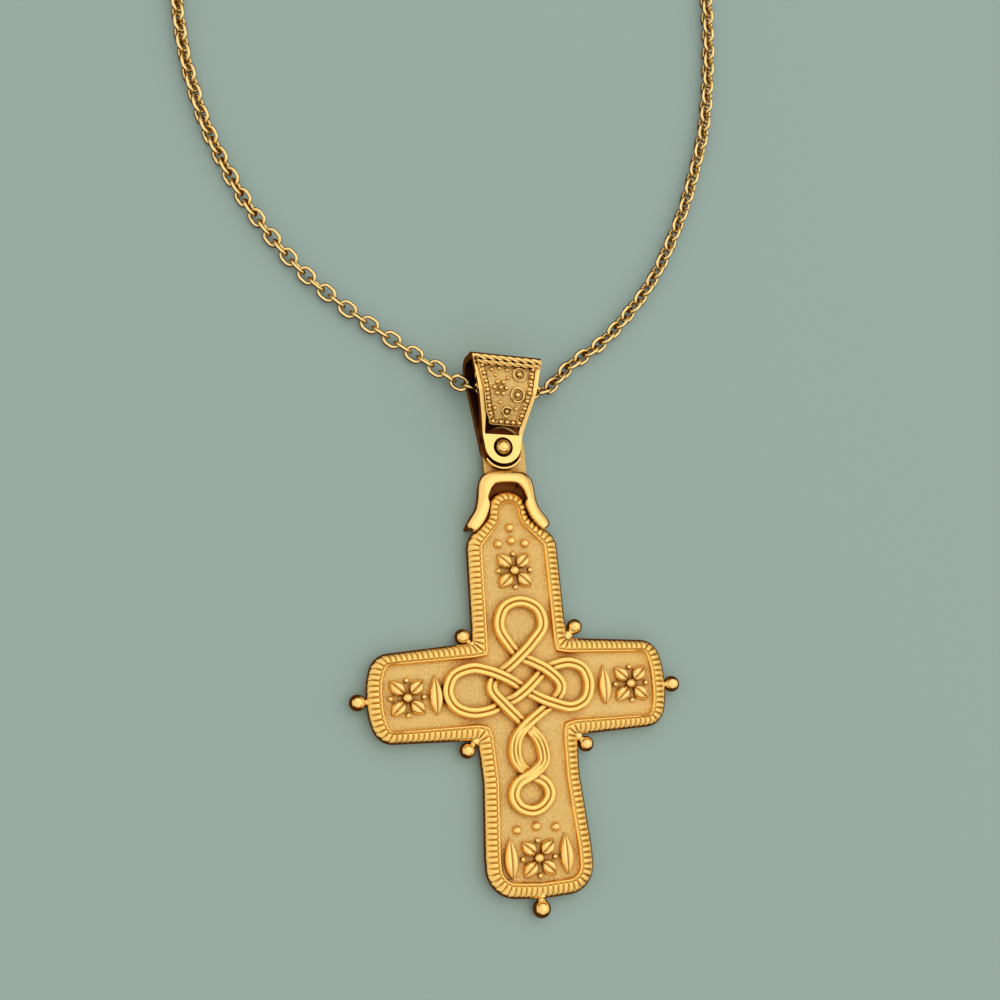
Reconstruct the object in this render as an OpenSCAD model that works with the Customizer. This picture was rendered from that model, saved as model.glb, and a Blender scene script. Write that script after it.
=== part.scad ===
// A Byzantine cross on a hinged bail and a fine cable chain, laid flat. Millimetres.
// The origin is on the surface under the bail's pin. +Y runs up the cross, +Z up from the surface.

/* [Cross] */
// From the plate's back to the crest of its border
cross_t = 1.9; // [1.8:0.1:2.4]
// From the border's crest down to the sunk field
field_drop = 0.65; // [0.5:0.05:0.9]
// Width of the raised border
border_w = 1.6; // [1.2:0.05:1.7]
// From the pin down to the middle of the crossing
crossing_y = 24.3; // [24.3:0.1:26]
// Radius of the balls at the ends of the arms
arm_ball_r = 0.8; // [0.6:0.05:0.9]
// Radius of the ball at the foot
foot_ball_r = 0.88; // [0.6:0.05:0.95]
// Radius of the balls in the four inner corners
corner_ball_r = 0.76; // [0.6:0.02:0.8]

/* [Relief] */
// Width of the knot's double strap
strap_w = 1.1; // [0.9:0.05:1.2]
// Height of the strap's ridges over the field
strap_h = 0.68; // [0.5:0.02:0.8]
// How far the strap rises where it crosses over
strap_lift = 0.16; // [0.1:0.02:0.25]
// Radius of a four-petalled rosette
rosette_r = 2.2; // [1.6:0.05:2.3]

/* [Cap and lug] */
// Height of the cap from the back
cap_t = 2.3; // [2.2:0.1:2.6]
// Height of the sunk web between the cap and the plate's neck
web_top = 1.35; // [1.0:0.05:1.6]
// Thickness of the lug between the bail's two tongues
lug_t = 0.6; // [0.4:0.05:0.6]
// Half of the lug's width, and the radius of its round end
lug_r = 2.27; // [2.2:0.01:2.4]
// How far the lug's middle is off the pin
lug_x = 0.27; // [0:0.01:0.3]
// Radius of the pin
pin_r = 0.6; // [0.5:0.05:0.7]
// Gap between the pin and the lug's bore
pin_gap = 0.06; // [0.03:0.01:0.09]

/* [Bail] */
// From the pin up to the top of the bail
bail_top = 9.1; // [9:0.1:9.8]
// Depth of the bail from its back to its front, at the top
bail_depth = 4.65; // [4.4:0.05:4.8]
// Thickness of the bail's strip
bail_wall = 0.6; // [0.5:0.05:0.7]
// Half of the bail's width at the pin
bail_half_low = 1.92; // [1.88:0.02:1.96]
// Half of the bail's width at the top
bail_half_top = 3.5; // [3.2:0.05:3.6]
// How far the bail is turned on the pin as it lies
bail_turn = 1.5; // [0:0.5:3]

/* [Chain] */
// Outer length of a link
link_l = 1.95; // [1.9:0.01:2.0]
// Outer width of a link
link_w = 1.65; // [1.6:0.01:1.7]
// Thickness of a link's wire
wire_d = 0.3; // [0.26:0.01:0.3]
// Thickness of the chain's plain far stretch
far_d = 1.6; // [1.4:0.1:1.6]

/* [Hidden] */
gold = "goldenrod";
pale_gold = "palegoldenrod";
eps = 0.01;
part_gap = 0.1;
bore_fn = 64;

field_z = cross_t - field_drop;
tongue_t = bail_wall;
lug_z = tongue_t + part_gap;
front_z = lug_z + lug_t + part_gap;
bail_front_low = front_z + tongue_t;

// Rounded outlines

function unit(v) = v / norm(v);

// The arc, of radius r and through [x, y] points, that rounds the corner b between a and c
function corner_arc(a, b, c, r) =
    let (u = unit(a - b),
         w = unit(c - b),
         half = acos(u * w) / 2,
         centre = b + unit(u + w) * r / sin(half),
         from = b + u * r / tan(half) - centre,
         to = b + w * r / tan(half) - centre,
         start = atan2(from[1], from[0]),
         swing = atan2(from[0] * to[1] - from[1] * to[0], from * to),
         steps = max(2, ceil(abs(swing) / 14)))
    [for (i = [0 : steps])
        centre + r * [cos(start + swing * i / steps), sin(start + swing * i / steps)]];

// Corners are rows of x, y and radius; a radius of 0 keeps the corner sharp
function rounded(corners) =
    let (n = len(corners),
         xy = [for (c = corners) [c[0], c[1]]])
    [for (i = [0 : n - 1])
        each corners[i][2] == 0 ? [xy[i]]
            : corner_arc(xy[(i + n - 1) % n], xy[i], xy[(i + 1) % n], corners[i][2])];

function backwards(rows) = [for (i = [len(rows) - 1 : -1 : 0]) rows[i]];

// A right half, listed from the top down, and its mirror image
function both_sides(half) =
    concat(half, [for (c = backwards(half)) [-c[0], c[1], c[2]]]);

// The plate's sides from the top down: x, y from the crossing, radius. The stem is not quite symmetrical.
CROSS_RIGHT = [
    [2.25, 19.85, 2.05],
    [2.25, 17.30, 1.00],
    [5.05, 15.10, 2.20],
    [5.25, 4.95, 0.30],
    [14.75, 4.25, 2.15],
    [15.45, 1.60, 6.00],
    [15.45, -1.60, 6.00],
    [14.75, -4.30, 2.15],
    [5.45, -4.66, 0.30],
    [5.40, -8.60, 6.00],
    [6.00, -15.50, 8.00],
    [6.00, -19.70, 2.80]];
CROSS_LEFT = [
    [-1.95, 19.85, 2.05],
    [-1.95, 17.30, 1.00],
    [-4.45, 15.10, 2.20],
    [-4.65, 4.95, 0.30],
    [-14.75, 4.25, 2.15],
    [-15.60, 1.60, 6.00],
    [-15.60, -1.60, 6.00],
    [-14.75, -4.30, 2.15],
    [-4.85, -4.52, 0.30],
    [-4.62, -8.60, 6.00],
    [-5.05, -15.50, 8.00],
    [-5.05, -19.45, 3.00],
    [0.40, -19.95, 8.00]];

cross_outline = [for (p = rounded(concat(CROSS_RIGHT, backwards(CROSS_LEFT)))) p - [0, crossing_y]];

// Inward normals of a closed outline that runs clockwise, lengthened at each corner to keep the width
function inward(pts, i) =
    let (n = len(pts),
         a = unit(pts[i] - pts[(i + n - 1) % n]),
         b = unit(pts[(i + 1) % n] - pts[i]),
         mid = unit([a[1] + b[1], -a[0] - b[0]]))
    mid / max(0.5, mid * [b[1], -b[0]]);

// Two triangles for each side between one ring of m points and the next, over count rings
function ring_sides(count, m, n) =
    [for (i = [0 : count - 1], j = [0 : m - 1], half = [0, 1])
        let (a = i * m + j,
             b = i * m + (j + 1) % m,
             c = ((i + 1) % n) * m + (j + 1) % m,
             d = ((i + 1) % n) * m + j)
        half == 0 ? [a, b, c] : [a, c, d]];

// An open tube through rings of points, closed by a flat face at each end
module capped_tube(rings) {
    n = len(rings);
    m = len(rings[0]);
    polyhedron(
        points = [for (ring = rings) each ring],
        faces = concat(
            ring_sides(n - 1, m, n),
            [[for (j = [m - 1 : -1 : 0]) j]],
            [[for (j = [0 : m - 1]) (n - 1) * m + j]]),
        convexity = 8);
}

// Section of the plate's edge and border: inward distance as a share of the border's width, height
function edge_section() = [
    [0.00, 0], [0.00, 0.56 * cross_t], [0.05, 0.70 * cross_t], [0.16, 0.81 * cross_t],
    [0.36, 0.93 * cross_t], [0.62, cross_t], [0.86, 0.94 * cross_t], [0.93, 0.78 * cross_t], [1.00, field_z]];

// The plate with its border: rings from the back's edge, up the side and over the border to the field
module plate() {
    n = len(cross_outline);
    capped_tube([for (s = edge_section())
        [for (i = [0 : n - 1])
            let (p = cross_outline[i] + inward(cross_outline, i) * border_w * s[0])
            [p[0], p[1], s[1]]]]);
}

// The knot, two closed strands: x, y from the knot's middle, level (1 over, -1 under, 0 between)

knot_mid = [0.2, 0.1 - crossing_y];
KNOT_UPRIGHT = [
    [0.40, 8.65, 0], [2.10, 7.80, 0], [2.45, 6.15, 0], [1.30, 4.60, 0],
    [-0.10, 3.35, 1], [-1.25, 2.40, 0], [-2.45, 1.55, -1], [-3.30, 0.75, 0],
    [-3.25, -0.15, 0], [-2.30, -1.25, 1], [-1.10, -2.50, 0], [0.00, -3.60, -1],
    [1.35, -4.75, 0], [2.10, -6.20, 0], [1.60, -7.30, 0], [0.15, -8.15, 1],
    [-1.40, -8.95, 0], [-1.95, -10.30, 0], [-0.20, -11.75, 0], [1.70, -10.55, 0],
    [1.35, -9.15, 0], [0.15, -8.15, -1], [-1.35, -7.25, 0], [-1.80, -6.00, 0],
    [-1.30, -4.80, 0], [0.00, -3.60, 1], [1.55, -2.45, 0], [2.90, -1.50, -1],
    [3.65, -0.40, 0], [3.70, 0.50, 0], [2.45, 1.75, 1], [1.15, 2.55, 0],
    [-0.10, 3.35, -1], [-1.25, 4.60, 0], [-2.00, 6.30, 0], [-1.35, 8.00, 0]];
KNOT_ACROSS = [
    [-7.75, 0.30, 0], [-7.05, 1.85, 0], [-5.20, 2.45, 0], [-3.80, 2.15, 0],
    [-2.45, 1.55, 1], [-1.10, 0.85, 0], [0.20, 0.00, -1], [1.55, -0.90, 0],
    [2.90, -1.50, 1], [4.80, -2.00, 0], [6.35, -1.35, 0], [6.90, 0.20, 0],
    [6.45, 1.75, 0], [5.15, 2.40, 0], [3.70, 2.25, 0], [2.45, 1.75, -1],
    [1.35, 0.95, 0], [0.20, 0.00, 1], [-1.00, -0.80, 0], [-2.30, -1.25, -1],
    [-3.60, -1.75, 0], [-5.50, -1.85, 0], [-7.10, -1.20, 0]];

// A point at the share t of the way from b to c, on the smooth curve through a, b, c and d
function blend(a, b, c, d, t) =
    0.5 * ((2 * b) + (c - a) * t + (2 * a - 5 * b + 4 * c - d) * t * t
        + (3 * b - a - 3 * c + d) * t * t * t);

function loop_curve(pts, steps) =
    let (n = len(pts))
    [for (i = [0 : n - 1], k = [0 : steps - 1])
        blend(pts[(i + n - 1) % n], pts[i], pts[(i + 1) % n], pts[(i + 2) % n], k / steps)];

// Section of the double strap: share of its width, share of its height
STRAP_SECTION = [
    [-0.5, -0.8], [-0.5, 0.6], [-0.3, 1.0], [0.0, 0.7], [0.3, 1.0], [0.5, 0.6], [0.5, -0.8]];

curve_steps = 3;
// A run's end is this share of its full section and is buried one step deep in the next run
buried_share = 0.8;
// Every other run is this share of the full section, so that no two surfaces coincide
slim_share = 0.94;

// One run of a strand, from one row of its table to another, which may pass the table's end
module run(pts, from, to, share) {
    path = loop_curve(pts, curve_steps);
    n = len(path);
    first = from * curve_steps - 1;
    last = to * curve_steps + 1;
    capped_tube([for (k = [first : last])
        let (here = path[k % n],
             after = path[(k + 1) % n],
             before = path[(k + n - 1) % n],
             along = unit([after[0] - before[0], after[1] - before[1]]),
             level = here[2] > 0 ? here[2] : 2 * here[2],
             size = k == first || k == last ? buried_share : share)
        [for (s = STRAP_SECTION)
            [knot_mid[0] + here[0] - along[1] * strap_w * s[0] * size,
             knot_mid[1] + here[1] + along[0] * strap_w * s[0] * size,
             field_z + strap_h * s[1] * size + strap_lift * level]]]);
}

// Each run starts and ends under another strap, or meets the next one at the far side of a loop
module knot() {
    for (ends = [[11, 18], [21, 27], [32, 36]])
        run(KNOT_UPRIGHT, ends[0], ends[1], 1);
    for (ends = [[6, 11], [18, 21], [27, 32], [36, 42]])
        run(KNOT_UPRIGHT, ends[0], ends[1], slim_share);
    run(KNOT_ACROSS, 6, 15, 1);
    run(KNOT_ACROSS, 15, 19, slim_share);
    run(KNOT_ACROSS, 19, 29, 1);
}

// Leaves, rosettes and pellets that fill the four ends of the field

leaf_h = 0.55;
leaf_half_w = 0.6;

module leaf(reach) {
    hull() {
        sphere(r = 0.1, $fn = 6);
        translate([reach * 0.55, 0, 0])
            scale([1, leaf_half_w / leaf_h, 1])
                sphere(r = leaf_h, $fn = 10);
        translate([reach, 0, 0])
            sphere(r = 0.1, $fn = 6);
    }
}

module upright_leaf(reach) {
    rotate([0, 0, 90])
        translate([-reach / 2, 0, 0])
            leaf(reach);
}

boss_r = 0.5;
petal_start = 0.4;

module rosette(r) {
    sphere(r = boss_r, $fn = 10);
    for (a = [45 : 90 : 315])
        rotate([0, 0, a])
            translate([petal_start, 0, 0])
                leaf(r - petal_start);
}

// Rows of x and y from the crossing
ROSETTES = [[-11.6, 0], [11.7, 0.05], [0.3, 11.9], [0.4, -16.1]];
UPRIGHT_LEAVES = [[-8.75, 0.1], [8.85, 0.1], [-2.45, -15.9], [3.25, -15.9]];
PELLETS = [
    [-1.15, 14.6], [0.25, 14.9], [1.65, 14.6], [0.2, 16.2], [-1.6, -13.3], [0.4, -13.1], [2.4, -13.3]];
pellet_r = 0.42;
upright_leaf_l = 3.7;

module ornaments() {
    translate([0, -crossing_y, field_z]) {
        for (p = ROSETTES)
            translate([p[0], p[1], 0])
                rosette(rosette_r);
        for (p = UPRIGHT_LEAVES)
            translate([p[0], p[1], 0])
                upright_leaf(upright_leaf_l);
        for (p = PELLETS)
            translate([p[0], p[1], 0])
                sphere(r = pellet_r, $fn = 10);
    }
}

// The seven balls: x, y from the crossing, radius, and the direction of the short stem back to the plate
BALLS = [
    [16.35, -0.25, arm_ball_r, 180], [-16.45, -0.15, arm_ball_r, 0], [0.38, -20.90, foot_ball_r, 90],
    [6.32, 6.05, corner_ball_r, 225], [-5.55, 5.60, corner_ball_r, 315],
    [6.45, -5.60, corner_ball_r, 135], [-5.90, -5.40, corner_ball_r, 45]];
stem_l = 2.1;
stem_share = 0.55;

module balls() {
    for (b = BALLS)
        translate([b[0], b[1] - crossing_y, cross_t / 2]) {
            sphere(r = b[2], $fn = 14);
            rotate([0, 90, b[3]])
                cylinder(r = b[2] * stem_share, h = stem_l, $fn = 12);
        }
}

module cross() {
    color(gold)
        union() {
            plate();
            knot();
            ornaments();
            balls();
        }
}

// The cap's right side and the arch inside it: x, y, radius
CAP_SIDE = [
    [2.76, -2.42, 1.00],
    [3.08, -5.60, 2.50],
    [4.62, -7.70, 0.30],
    [3.95, -8.20, 0.25]];
ARCH_SIDE = [
    [1.85, -3.62, 1.30],
    [1.85, -6.20, 0]];
// Where the sunk web in the arch starts over the surface
web_low = 0.3;

// The plate's outline with a gap round it
module plate_room() {
    n = len(cross_outline);
    polygon([for (i = [0 : n - 1]) cross_outline[i] - inward(cross_outline, i) * part_gap]);
}

// An outline drawn out from one height to another
module between(low, high) {
    translate([0, 0, low])
        linear_extrude(height = high - low)
            children();
}

// The collar, and the web in its arch
module collar() {
    difference() {
        between(0, cap_t)
            difference() {
                polygon(rounded(both_sides(CAP_SIDE)));
                plate_room();
            }
        between(web_top, cap_t + 1)
            polygon(rounded(both_sides(ARCH_SIDE)));
        between(-1, web_low)
            polygon(rounded(both_sides(ARCH_SIDE)));
    }
}

// How far down the lug's straight sides run, in under the cap
lug_end = 3.0;

module lug_shape() {
    translate([lug_x, 0])
        hull() {
            circle(r = lug_r, $fn = bore_fn);
            translate([-lug_r, -lug_end])
                square([2 * lug_r, part_gap]);
        }
}

// The lug's raised rim reaches this far to each side of straight down
rim_half_angle = 58;
rim_w = 0.25;
rim_inner_r = 2.0;
rim_top = bail_front_low - 0.1;

module cap() {
    color(gold)
        difference() {
            union() {
                collar();
                translate([0, 0, lug_z])
                    linear_extrude(height = lug_t)
                        lug_shape();
                rotate([0, 0, -90 - rim_half_angle])
                    rotate_extrude(angle = 2 * rim_half_angle, $fn = bore_fn)
                        translate([rim_inner_r, lug_z + lug_t / 2])
                            square([rim_w, rim_top - lug_z - lug_t / 2]);
            }
            translate([0, 0, lug_z - eps])
                cylinder(r = pin_r + pin_gap, h = lug_t + 2 * eps, $fn = bore_fn);
        }
}

// The bail's front leaves the flat tongue here and starts to slant, up to a rounded shoulder
slant_y = 1.3;
shoulder_y = 5.2;
shoulder_z = bail_depth - 0.3;

// The bail's strip from the side, y and z, with the radius of each corner
BAIL_OUTER = [
    [-3.0, 0, 0],
    [-3.0, bail_front_low, 0],
    [slant_y, bail_front_low, 1.6],
    [shoulder_y, shoulder_z, 3.5],
    [bail_top, bail_depth, 0.5],
    [bail_top, 0, 2.1]];
BAIL_INNER = [
    [-3.1, tongue_t, 0],
    [-3.1, front_z, 0],
    [slant_y + 0.2, front_z, 1.6],
    [shoulder_y + 0.1, shoulder_z - bail_wall, 3.0],
    [bail_top - bail_wall, bail_depth - bail_wall, 0.2],
    [bail_top - bail_wall, bail_wall, 1.5]];
tongue_end = 1.67;
// The bore stops this far from the back
bore_floor = 0.2;

// The point y, z at a distance s up the front from where it starts to slant, and h over it
low_slope = atan2(shoulder_z - bail_front_low, shoulder_y - slant_y);
high_slope = atan2(bail_depth - shoulder_z, bail_top - shoulder_y);
shoulder_s = norm([shoulder_y - slant_y, shoulder_z - bail_front_low]);
function front_at(s, h) =
    s < shoulder_s
        ? [slant_y, bail_front_low] + s * [cos(low_slope), sin(low_slope)] + h * [-sin(low_slope), cos(low_slope)]
        : [shoulder_y, shoulder_z] + (s - shoulder_s) * [cos(high_slope), sin(high_slope)]
            + h * [-sin(high_slope), cos(high_slope)];

// The corner, h over the front, where it bends over at the shoulder
function shoulder_at(h) =
    let (mid = (low_slope + high_slope) / 2,
         reach = h / cos((low_slope - high_slope) / 2))
    [shoulder_y - reach * sin(mid), shoulder_z + reach * cos(mid)];

// The raised panel's ends, along the front, and its left and right edges there
panel_low = 0.98;
panel_high = 7.78;
panel_rise = 0.35;
panel_sink = 0.25;
PANEL_LEFT = [[panel_low, -1.50], [2.40, -2.13], [panel_high, -3.30]];
PANEL_RIGHT = [[panel_low, 1.78], [4.20, 2.55], [panel_high, 3.15]];

// The slot between the panel and the tongue, with a sliver that runs up beside the panel's left edge
SLOT = [
    [-1.86, -0.04], [1.74, -0.04], [1.76, 0.92], [-1.53, 0.92],
    [-1.78, 1.50], [-1.98, 1.95], [-2.04, 1.95]];
slot_clear = 0.15;

module bail_front_view() {
    hull() {
        translate([0, bail_half_low - tongue_end])
            circle(r = bail_half_low, $fn = 48);
        translate([-bail_half_top, bail_top])
            square([2 * bail_half_top, 0.5]);
    }
}

// The panel's outline from the front: its foot is drawn long, as the side view cuts it square to the slope
foot_spare = 2;
function panel_edge(rows) =
    [for (p = rows) [p[1], front_at(p[0], p[0] > panel_low ? 0 : foot_spare)[0]]];

module panel() {
    intersection() {
        rotate([90, 0, 90])
            translate([0, 0, -5])
                linear_extrude(height = 10)
                    polygon(concat(
                        [front_at(panel_low, -panel_sink), front_at(panel_low, panel_rise)],
                        corner_arc(
                            front_at(panel_low, panel_rise), shoulder_at(panel_rise),
                            front_at(panel_high, panel_rise), 3.5),
                        [front_at(panel_high, panel_rise), front_at(panel_high, -panel_sink),
                         shoulder_at(-panel_sink)]));
        linear_extrude(height = bail_depth + 1)
            polygon(concat(panel_edge(PANEL_LEFT), backwards(panel_edge(PANEL_RIGHT))));
    }
}

// Granules along the panel's edges, ringed bosses and a flower in its middle
granule_r = 0.27;
granule_pitch = 0.78;
granule_inset = 0.38;
granule_rows = 8;
foot_granules = [-0.44, 0.20, 0.84];
// x, distance up the front, radius
BOSSES = [[1.15, 6.2, 0.45], [0.98, 4.2, 0.48], [0.05, 2.45, 0.36], [-0.85, 4.75, 0.4]];
petal_reach = 0.68;
petal_r = 0.24;
rope_r = 0.22;
rope_places = [panel_high - 0.72, panel_high - 0.24];

module on_panel(x, s) {
    translate([x, front_at(s, panel_rise)[0], front_at(s, panel_rise)[1]])
        children();
}

module bail_ornament() {
    for (i = [0 : granule_rows - 1])
        let (s = panel_low + granule_inset + i * granule_pitch) {
            on_panel(lookup(s, PANEL_LEFT) + granule_inset, s)
                sphere(r = granule_r, $fn = 24);
            on_panel(lookup(s, PANEL_RIGHT) - granule_inset, s)
                sphere(r = granule_r, $fn = 24);
        }
    for (x = foot_granules)
        on_panel(x, panel_low + granule_inset)
            sphere(r = granule_r, $fn = 24);
    for (b = BOSSES)
        on_panel(b[0], b[1])
            sphere(r = b[2], $fn = 24);
    for (a = [0 : 60 : 300])
        on_panel(BOSSES[3][0] + petal_reach * cos(a), BOSSES[3][1] + petal_reach * sin(a))
            sphere(r = petal_r, $fn = 24);
    for (s = rope_places)
        on_panel(lookup(s, PANEL_LEFT), s)
            rotate([0, 90, 0])
                cylinder(r = rope_r, h = lookup(s, PANEL_RIGHT) - lookup(s, PANEL_LEFT), $fn = 24);
}

module bail() {
    color(gold)
        rotate([0, 0, -bail_turn])
            difference() {
                union() {
                    intersection() {
                        rotate([90, 0, 90])
                            translate([0, 0, -5])
                                linear_extrude(height = 10)
                                    difference() {
                                        polygon(rounded(BAIL_OUTER));
                                        polygon(rounded(BAIL_INNER));
                                    }
                        linear_extrude(height = bail_depth + 1)
                            bail_front_view();
                    }
                    panel();
                    bail_ornament();
                }
                translate([0, 0, bore_floor])
                    cylinder(r = pin_r, h = bail_front_low, $fn = bore_fn);
                translate([0, slant_y, bail_front_low])
                    rotate([low_slope, 0, 0])
                        translate([0, 0, -bail_wall - slot_clear])
                            linear_extrude(height = bail_wall + 2 * slot_clear)
                                polygon(SLOT);
            }
}

// A pin that fills the bail's blind bore, with a domed head
rivet_head_r = 0.8;
rivet_head_sink = 0.2;

module rivet() {
    color(gold)
        union() {
            translate([0, 0, bore_floor + 0.05])
                cylinder(r = pin_r, h = bail_front_low - bore_floor, $fn = bore_fn);
            translate([0, 0, bail_front_low])
                intersection() {
                    translate([0, 0, -rivet_head_sink])
                        sphere(r = rivet_head_r, $fn = bore_fn);
                    cylinder(r = rivet_head_r, h = rivet_head_r, $fn = bore_fn);
                }
        }
}

// The chain's route, one closed loop through the bail: x, y
CHAIN_ROUTE = [
    [0, 6.2], [5, 6.0], [8.5, 8.8], [12.5, 11.5], [16.2, 15.1], [19.2, 18.8], [21.6, 22.8],
    [23.7, 27], [25.5, 31.5], [27, 36], [28.1, 41.5], [28.8, 47], [29.2, 54], [29.4, 64], [29.5, 80],
    [29.5, 103], [29.5, 126], [29.5, 149], [29.5, 171], [27.3, 182], [20.8, 192], [11.3, 198.3],
    [0, 200.5], [-11.3, 198.3], [-20.8, 192], [-27.3, 182], [-29.5, 171], [-29.8, 149], [-30, 126],
    [-30.1, 103], [-30.2, 80], [-30.3, 64], [-30.3, 54], [-30.1, 46], [-29.7, 41], [-29, 37.3],
    [-28, 33.5], [-26.4, 29.4], [-24.4, 25.4], [-21.9, 21.6], [-18.8, 17.9], [-15, 14.6],
    [-10.8, 11.6], [-7, 9.0], [-3.8, 6.7]];

route_steps = 8;
route = loop_curve(CHAIN_ROUTE, route_steps);
route_n = len(route);
route_lengths = [for (i = 0, s = 0; i <= route_n;
    s = s + norm(route[(i + 1) % route_n] - route[i % route_n]), i = i + 1) s];
loop_length = route_lengths[route_n];
clasp_at = route_lengths[22 * route_steps];

// The point and heading of the route at a distance s from the middle of the bail, to either side
function route_at(s) =
    let (here = s < 0 ? s + loop_length : s,
         i = max([for (k = [0 : route_n - 1]) if (route_lengths[k] <= here) k]),
         step = route[(i + 1) % route_n] - route[i],
         share = (here - route_lengths[i]) / norm(step))
    [route[i] + step * share, atan2(step[1], step[0])];

// From 0 at a to 1 at b, with soft ends
function ease(a, b, x) =
    let (t = min(1, max(0, (x - a) / (b - a))))
    t * t * (3 - 2 * t);

// Links lie flat and on edge by turns near the bail, and turn to 45 degrees further out
function link_twist(s) = 45 * (s < 0 ? ease(22, 50, -s) : ease(6, 26, s));

// Height of the chain's middle: on the surface, but over the back of the bail inside it
chain_rest = 0.02;
function chain_z(s) =
    let (twist = link_twist(s))
    wire_d / 2 + (link_w - wire_d) / 2 * cos(twist) + chain_rest
        + (bail_wall + 0.04) * (1 - ease(4.2, 9.5, abs(s)));

// A taut link all but touches the next one's bend; slack ones stand closer together
taut_pitch = link_l - 2 * wire_d - 0.13;
slack_pitch = 1.05;
function pitch(s) =
    s < 0 ? taut_pitch - (taut_pitch - slack_pitch) * min(1, -s / 45)
        : 1.14 - (1.14 - slack_pitch) * min(1, s / 35);

right_reach = 62;
left_reach = 57;
LINK_PLACES_RIGHT = [for (s = 0; s < right_reach; s = s + pitch(s)) s];
LINK_PLACES_LEFT = [for (s = -taut_pitch; s > -left_reach; s = s - pitch(s)) s];

module link() {
    bend_r = (link_w - wire_d) / 2;
    straight = link_l - link_w;
    for (side = [0, 1])
        rotate([0, 0, 180 * side]) {
            translate([straight / 2, 0, 0])
                rotate([0, 0, -90])
                    rotate_extrude(angle = 180, $fn = 32)
                        translate([bend_r, 0])
                            circle(r = wire_d / 2, $fn = 24);
            translate([-straight / 2, bend_r, 0])
                rotate([0, 90, 0])
                    cylinder(r = wire_d / 2, h = straight, $fn = 24);
        }
}

// A link at a distance s along the chain, turned a quarter from its neighbours
module placed_link(s, odd) {
    here = route_at(s);
    rise = atan2(chain_z(s + 0.5) - chain_z(s - 0.5), 1);
    translate([here[0][0], here[0][1], chain_z(s)])
        rotate([0, -rise, here[1]])
            rotate([link_twist(s) + (odd ? 90 : 0), 0, 0])
                link();
}

module chain_front() {
    color(pale_gold) {
        for (i = [0 : len(LINK_PLACES_RIGHT) - 1])
            placed_link(LINK_PLACES_RIGHT[i], i % 2 == 1);
        for (i = [0 : len(LINK_PLACES_LEFT) - 1])
            placed_link(LINK_PLACES_LEFT[i], i % 2 == 0);
    }
}

clasp_l = 8;
clasp_r = 1.2;
far_sides = 8;
far_ring_step = 4.3;

// The plain stretch between two distances along the chain
module far_tube(from, to) {
    count = ceil((to - from) / far_ring_step);
    capped_tube([for (k = [0 : count])
        let (s = from + (to - from) * k / count,
             here = route_at(s > loop_length ? s - loop_length : s))
        [for (j = [0 : far_sides - 1])
            let (a = 22.5 + j * 360 / far_sides,
                 out = cos(a) * far_d / 2)
            [here[0][0] + sin(here[1]) * out,
             here[0][1] - cos(here[1]) * out,
             chain_rest + far_d / 2 * (1 + sin(a))]]]);
}

module chain_back() {
    clear = part_gap + link_l / 2;
    last_right = LINK_PLACES_RIGHT[len(LINK_PLACES_RIGHT) - 1];
    last_left = loop_length + LINK_PLACES_LEFT[len(LINK_PLACES_LEFT) - 1];
    color(pale_gold) {
        far_tube(last_right + clear, clasp_at - clasp_l / 2 - part_gap);
        far_tube(clasp_at + clasp_l / 2 + part_gap, last_left - clear);
    }
}

// A plain barrel with round ends
module clasp() {
    here = route_at(clasp_at);
    color(pale_gold)
        translate([here[0][0], here[0][1], clasp_r])
            rotate([0, 90, 0]) {
                translate([0, 0, clasp_r - clasp_l / 2])
                    cylinder(r = clasp_r, h = clasp_l - 2 * clasp_r, $fn = bore_fn);
                for (side = [-1, 1])
                    translate([0, 0, side * (clasp_l / 2 - clasp_r)])
                        sphere(r = clasp_r, $fn = bore_fn);
            }
}

cross();
cap();
bail();
rivet();
chain_front();
chain_back();
clasp();
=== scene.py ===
"""The looks of a Byzantine cross necklace that lies on a pale surface.

Every length is in millimetres until a mesh is made. The origin is on the surface, under the pin that
joins the bail and the cross. +Y runs up the cross to the chain, and +Z up from the surface.
"""

import logging
import math
from dataclasses import dataclass, field
from enum import Enum
from typing import Callable, NamedTuple, Sequence

import bmesh
import bpy
import numpy as np
from bmesh.types import BMesh
from bpy.types import Material, Mesh, Node, NodeSocket, NodeTree, Object
from mathutils import Matrix, Vector

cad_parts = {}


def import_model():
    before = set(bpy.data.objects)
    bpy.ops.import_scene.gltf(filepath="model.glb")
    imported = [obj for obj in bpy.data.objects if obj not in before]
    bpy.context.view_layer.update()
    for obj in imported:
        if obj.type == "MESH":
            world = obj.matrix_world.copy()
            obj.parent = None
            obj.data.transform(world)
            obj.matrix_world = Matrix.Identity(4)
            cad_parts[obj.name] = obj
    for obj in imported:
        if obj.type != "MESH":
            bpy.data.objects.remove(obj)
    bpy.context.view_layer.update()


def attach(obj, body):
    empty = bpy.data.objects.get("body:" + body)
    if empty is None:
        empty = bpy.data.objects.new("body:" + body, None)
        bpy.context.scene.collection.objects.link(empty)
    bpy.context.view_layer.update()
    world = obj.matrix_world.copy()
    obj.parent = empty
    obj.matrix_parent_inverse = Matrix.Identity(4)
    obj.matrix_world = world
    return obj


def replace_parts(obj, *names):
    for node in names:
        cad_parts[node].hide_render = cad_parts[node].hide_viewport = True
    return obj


LOG = logging.getLogger("necklace")
# Metres in a millimetre
MM = 0.001
# Width and height of the photograph
IMAGE_PX = 1000
# Seed of the small turns that the chain's links settle with
SEED = 7


class Slot(Enum):
    """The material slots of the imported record."""

    CAST = "gold_cast"
    POLISHED = "gold_polished"
    CHAIN = "gold_chain"


class Body(Enum):
    """The bodies that a piece can ride on."""

    NECKLACE = "necklace"
    PENDANT = "pendant"


# Colour and shader nodes


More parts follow.
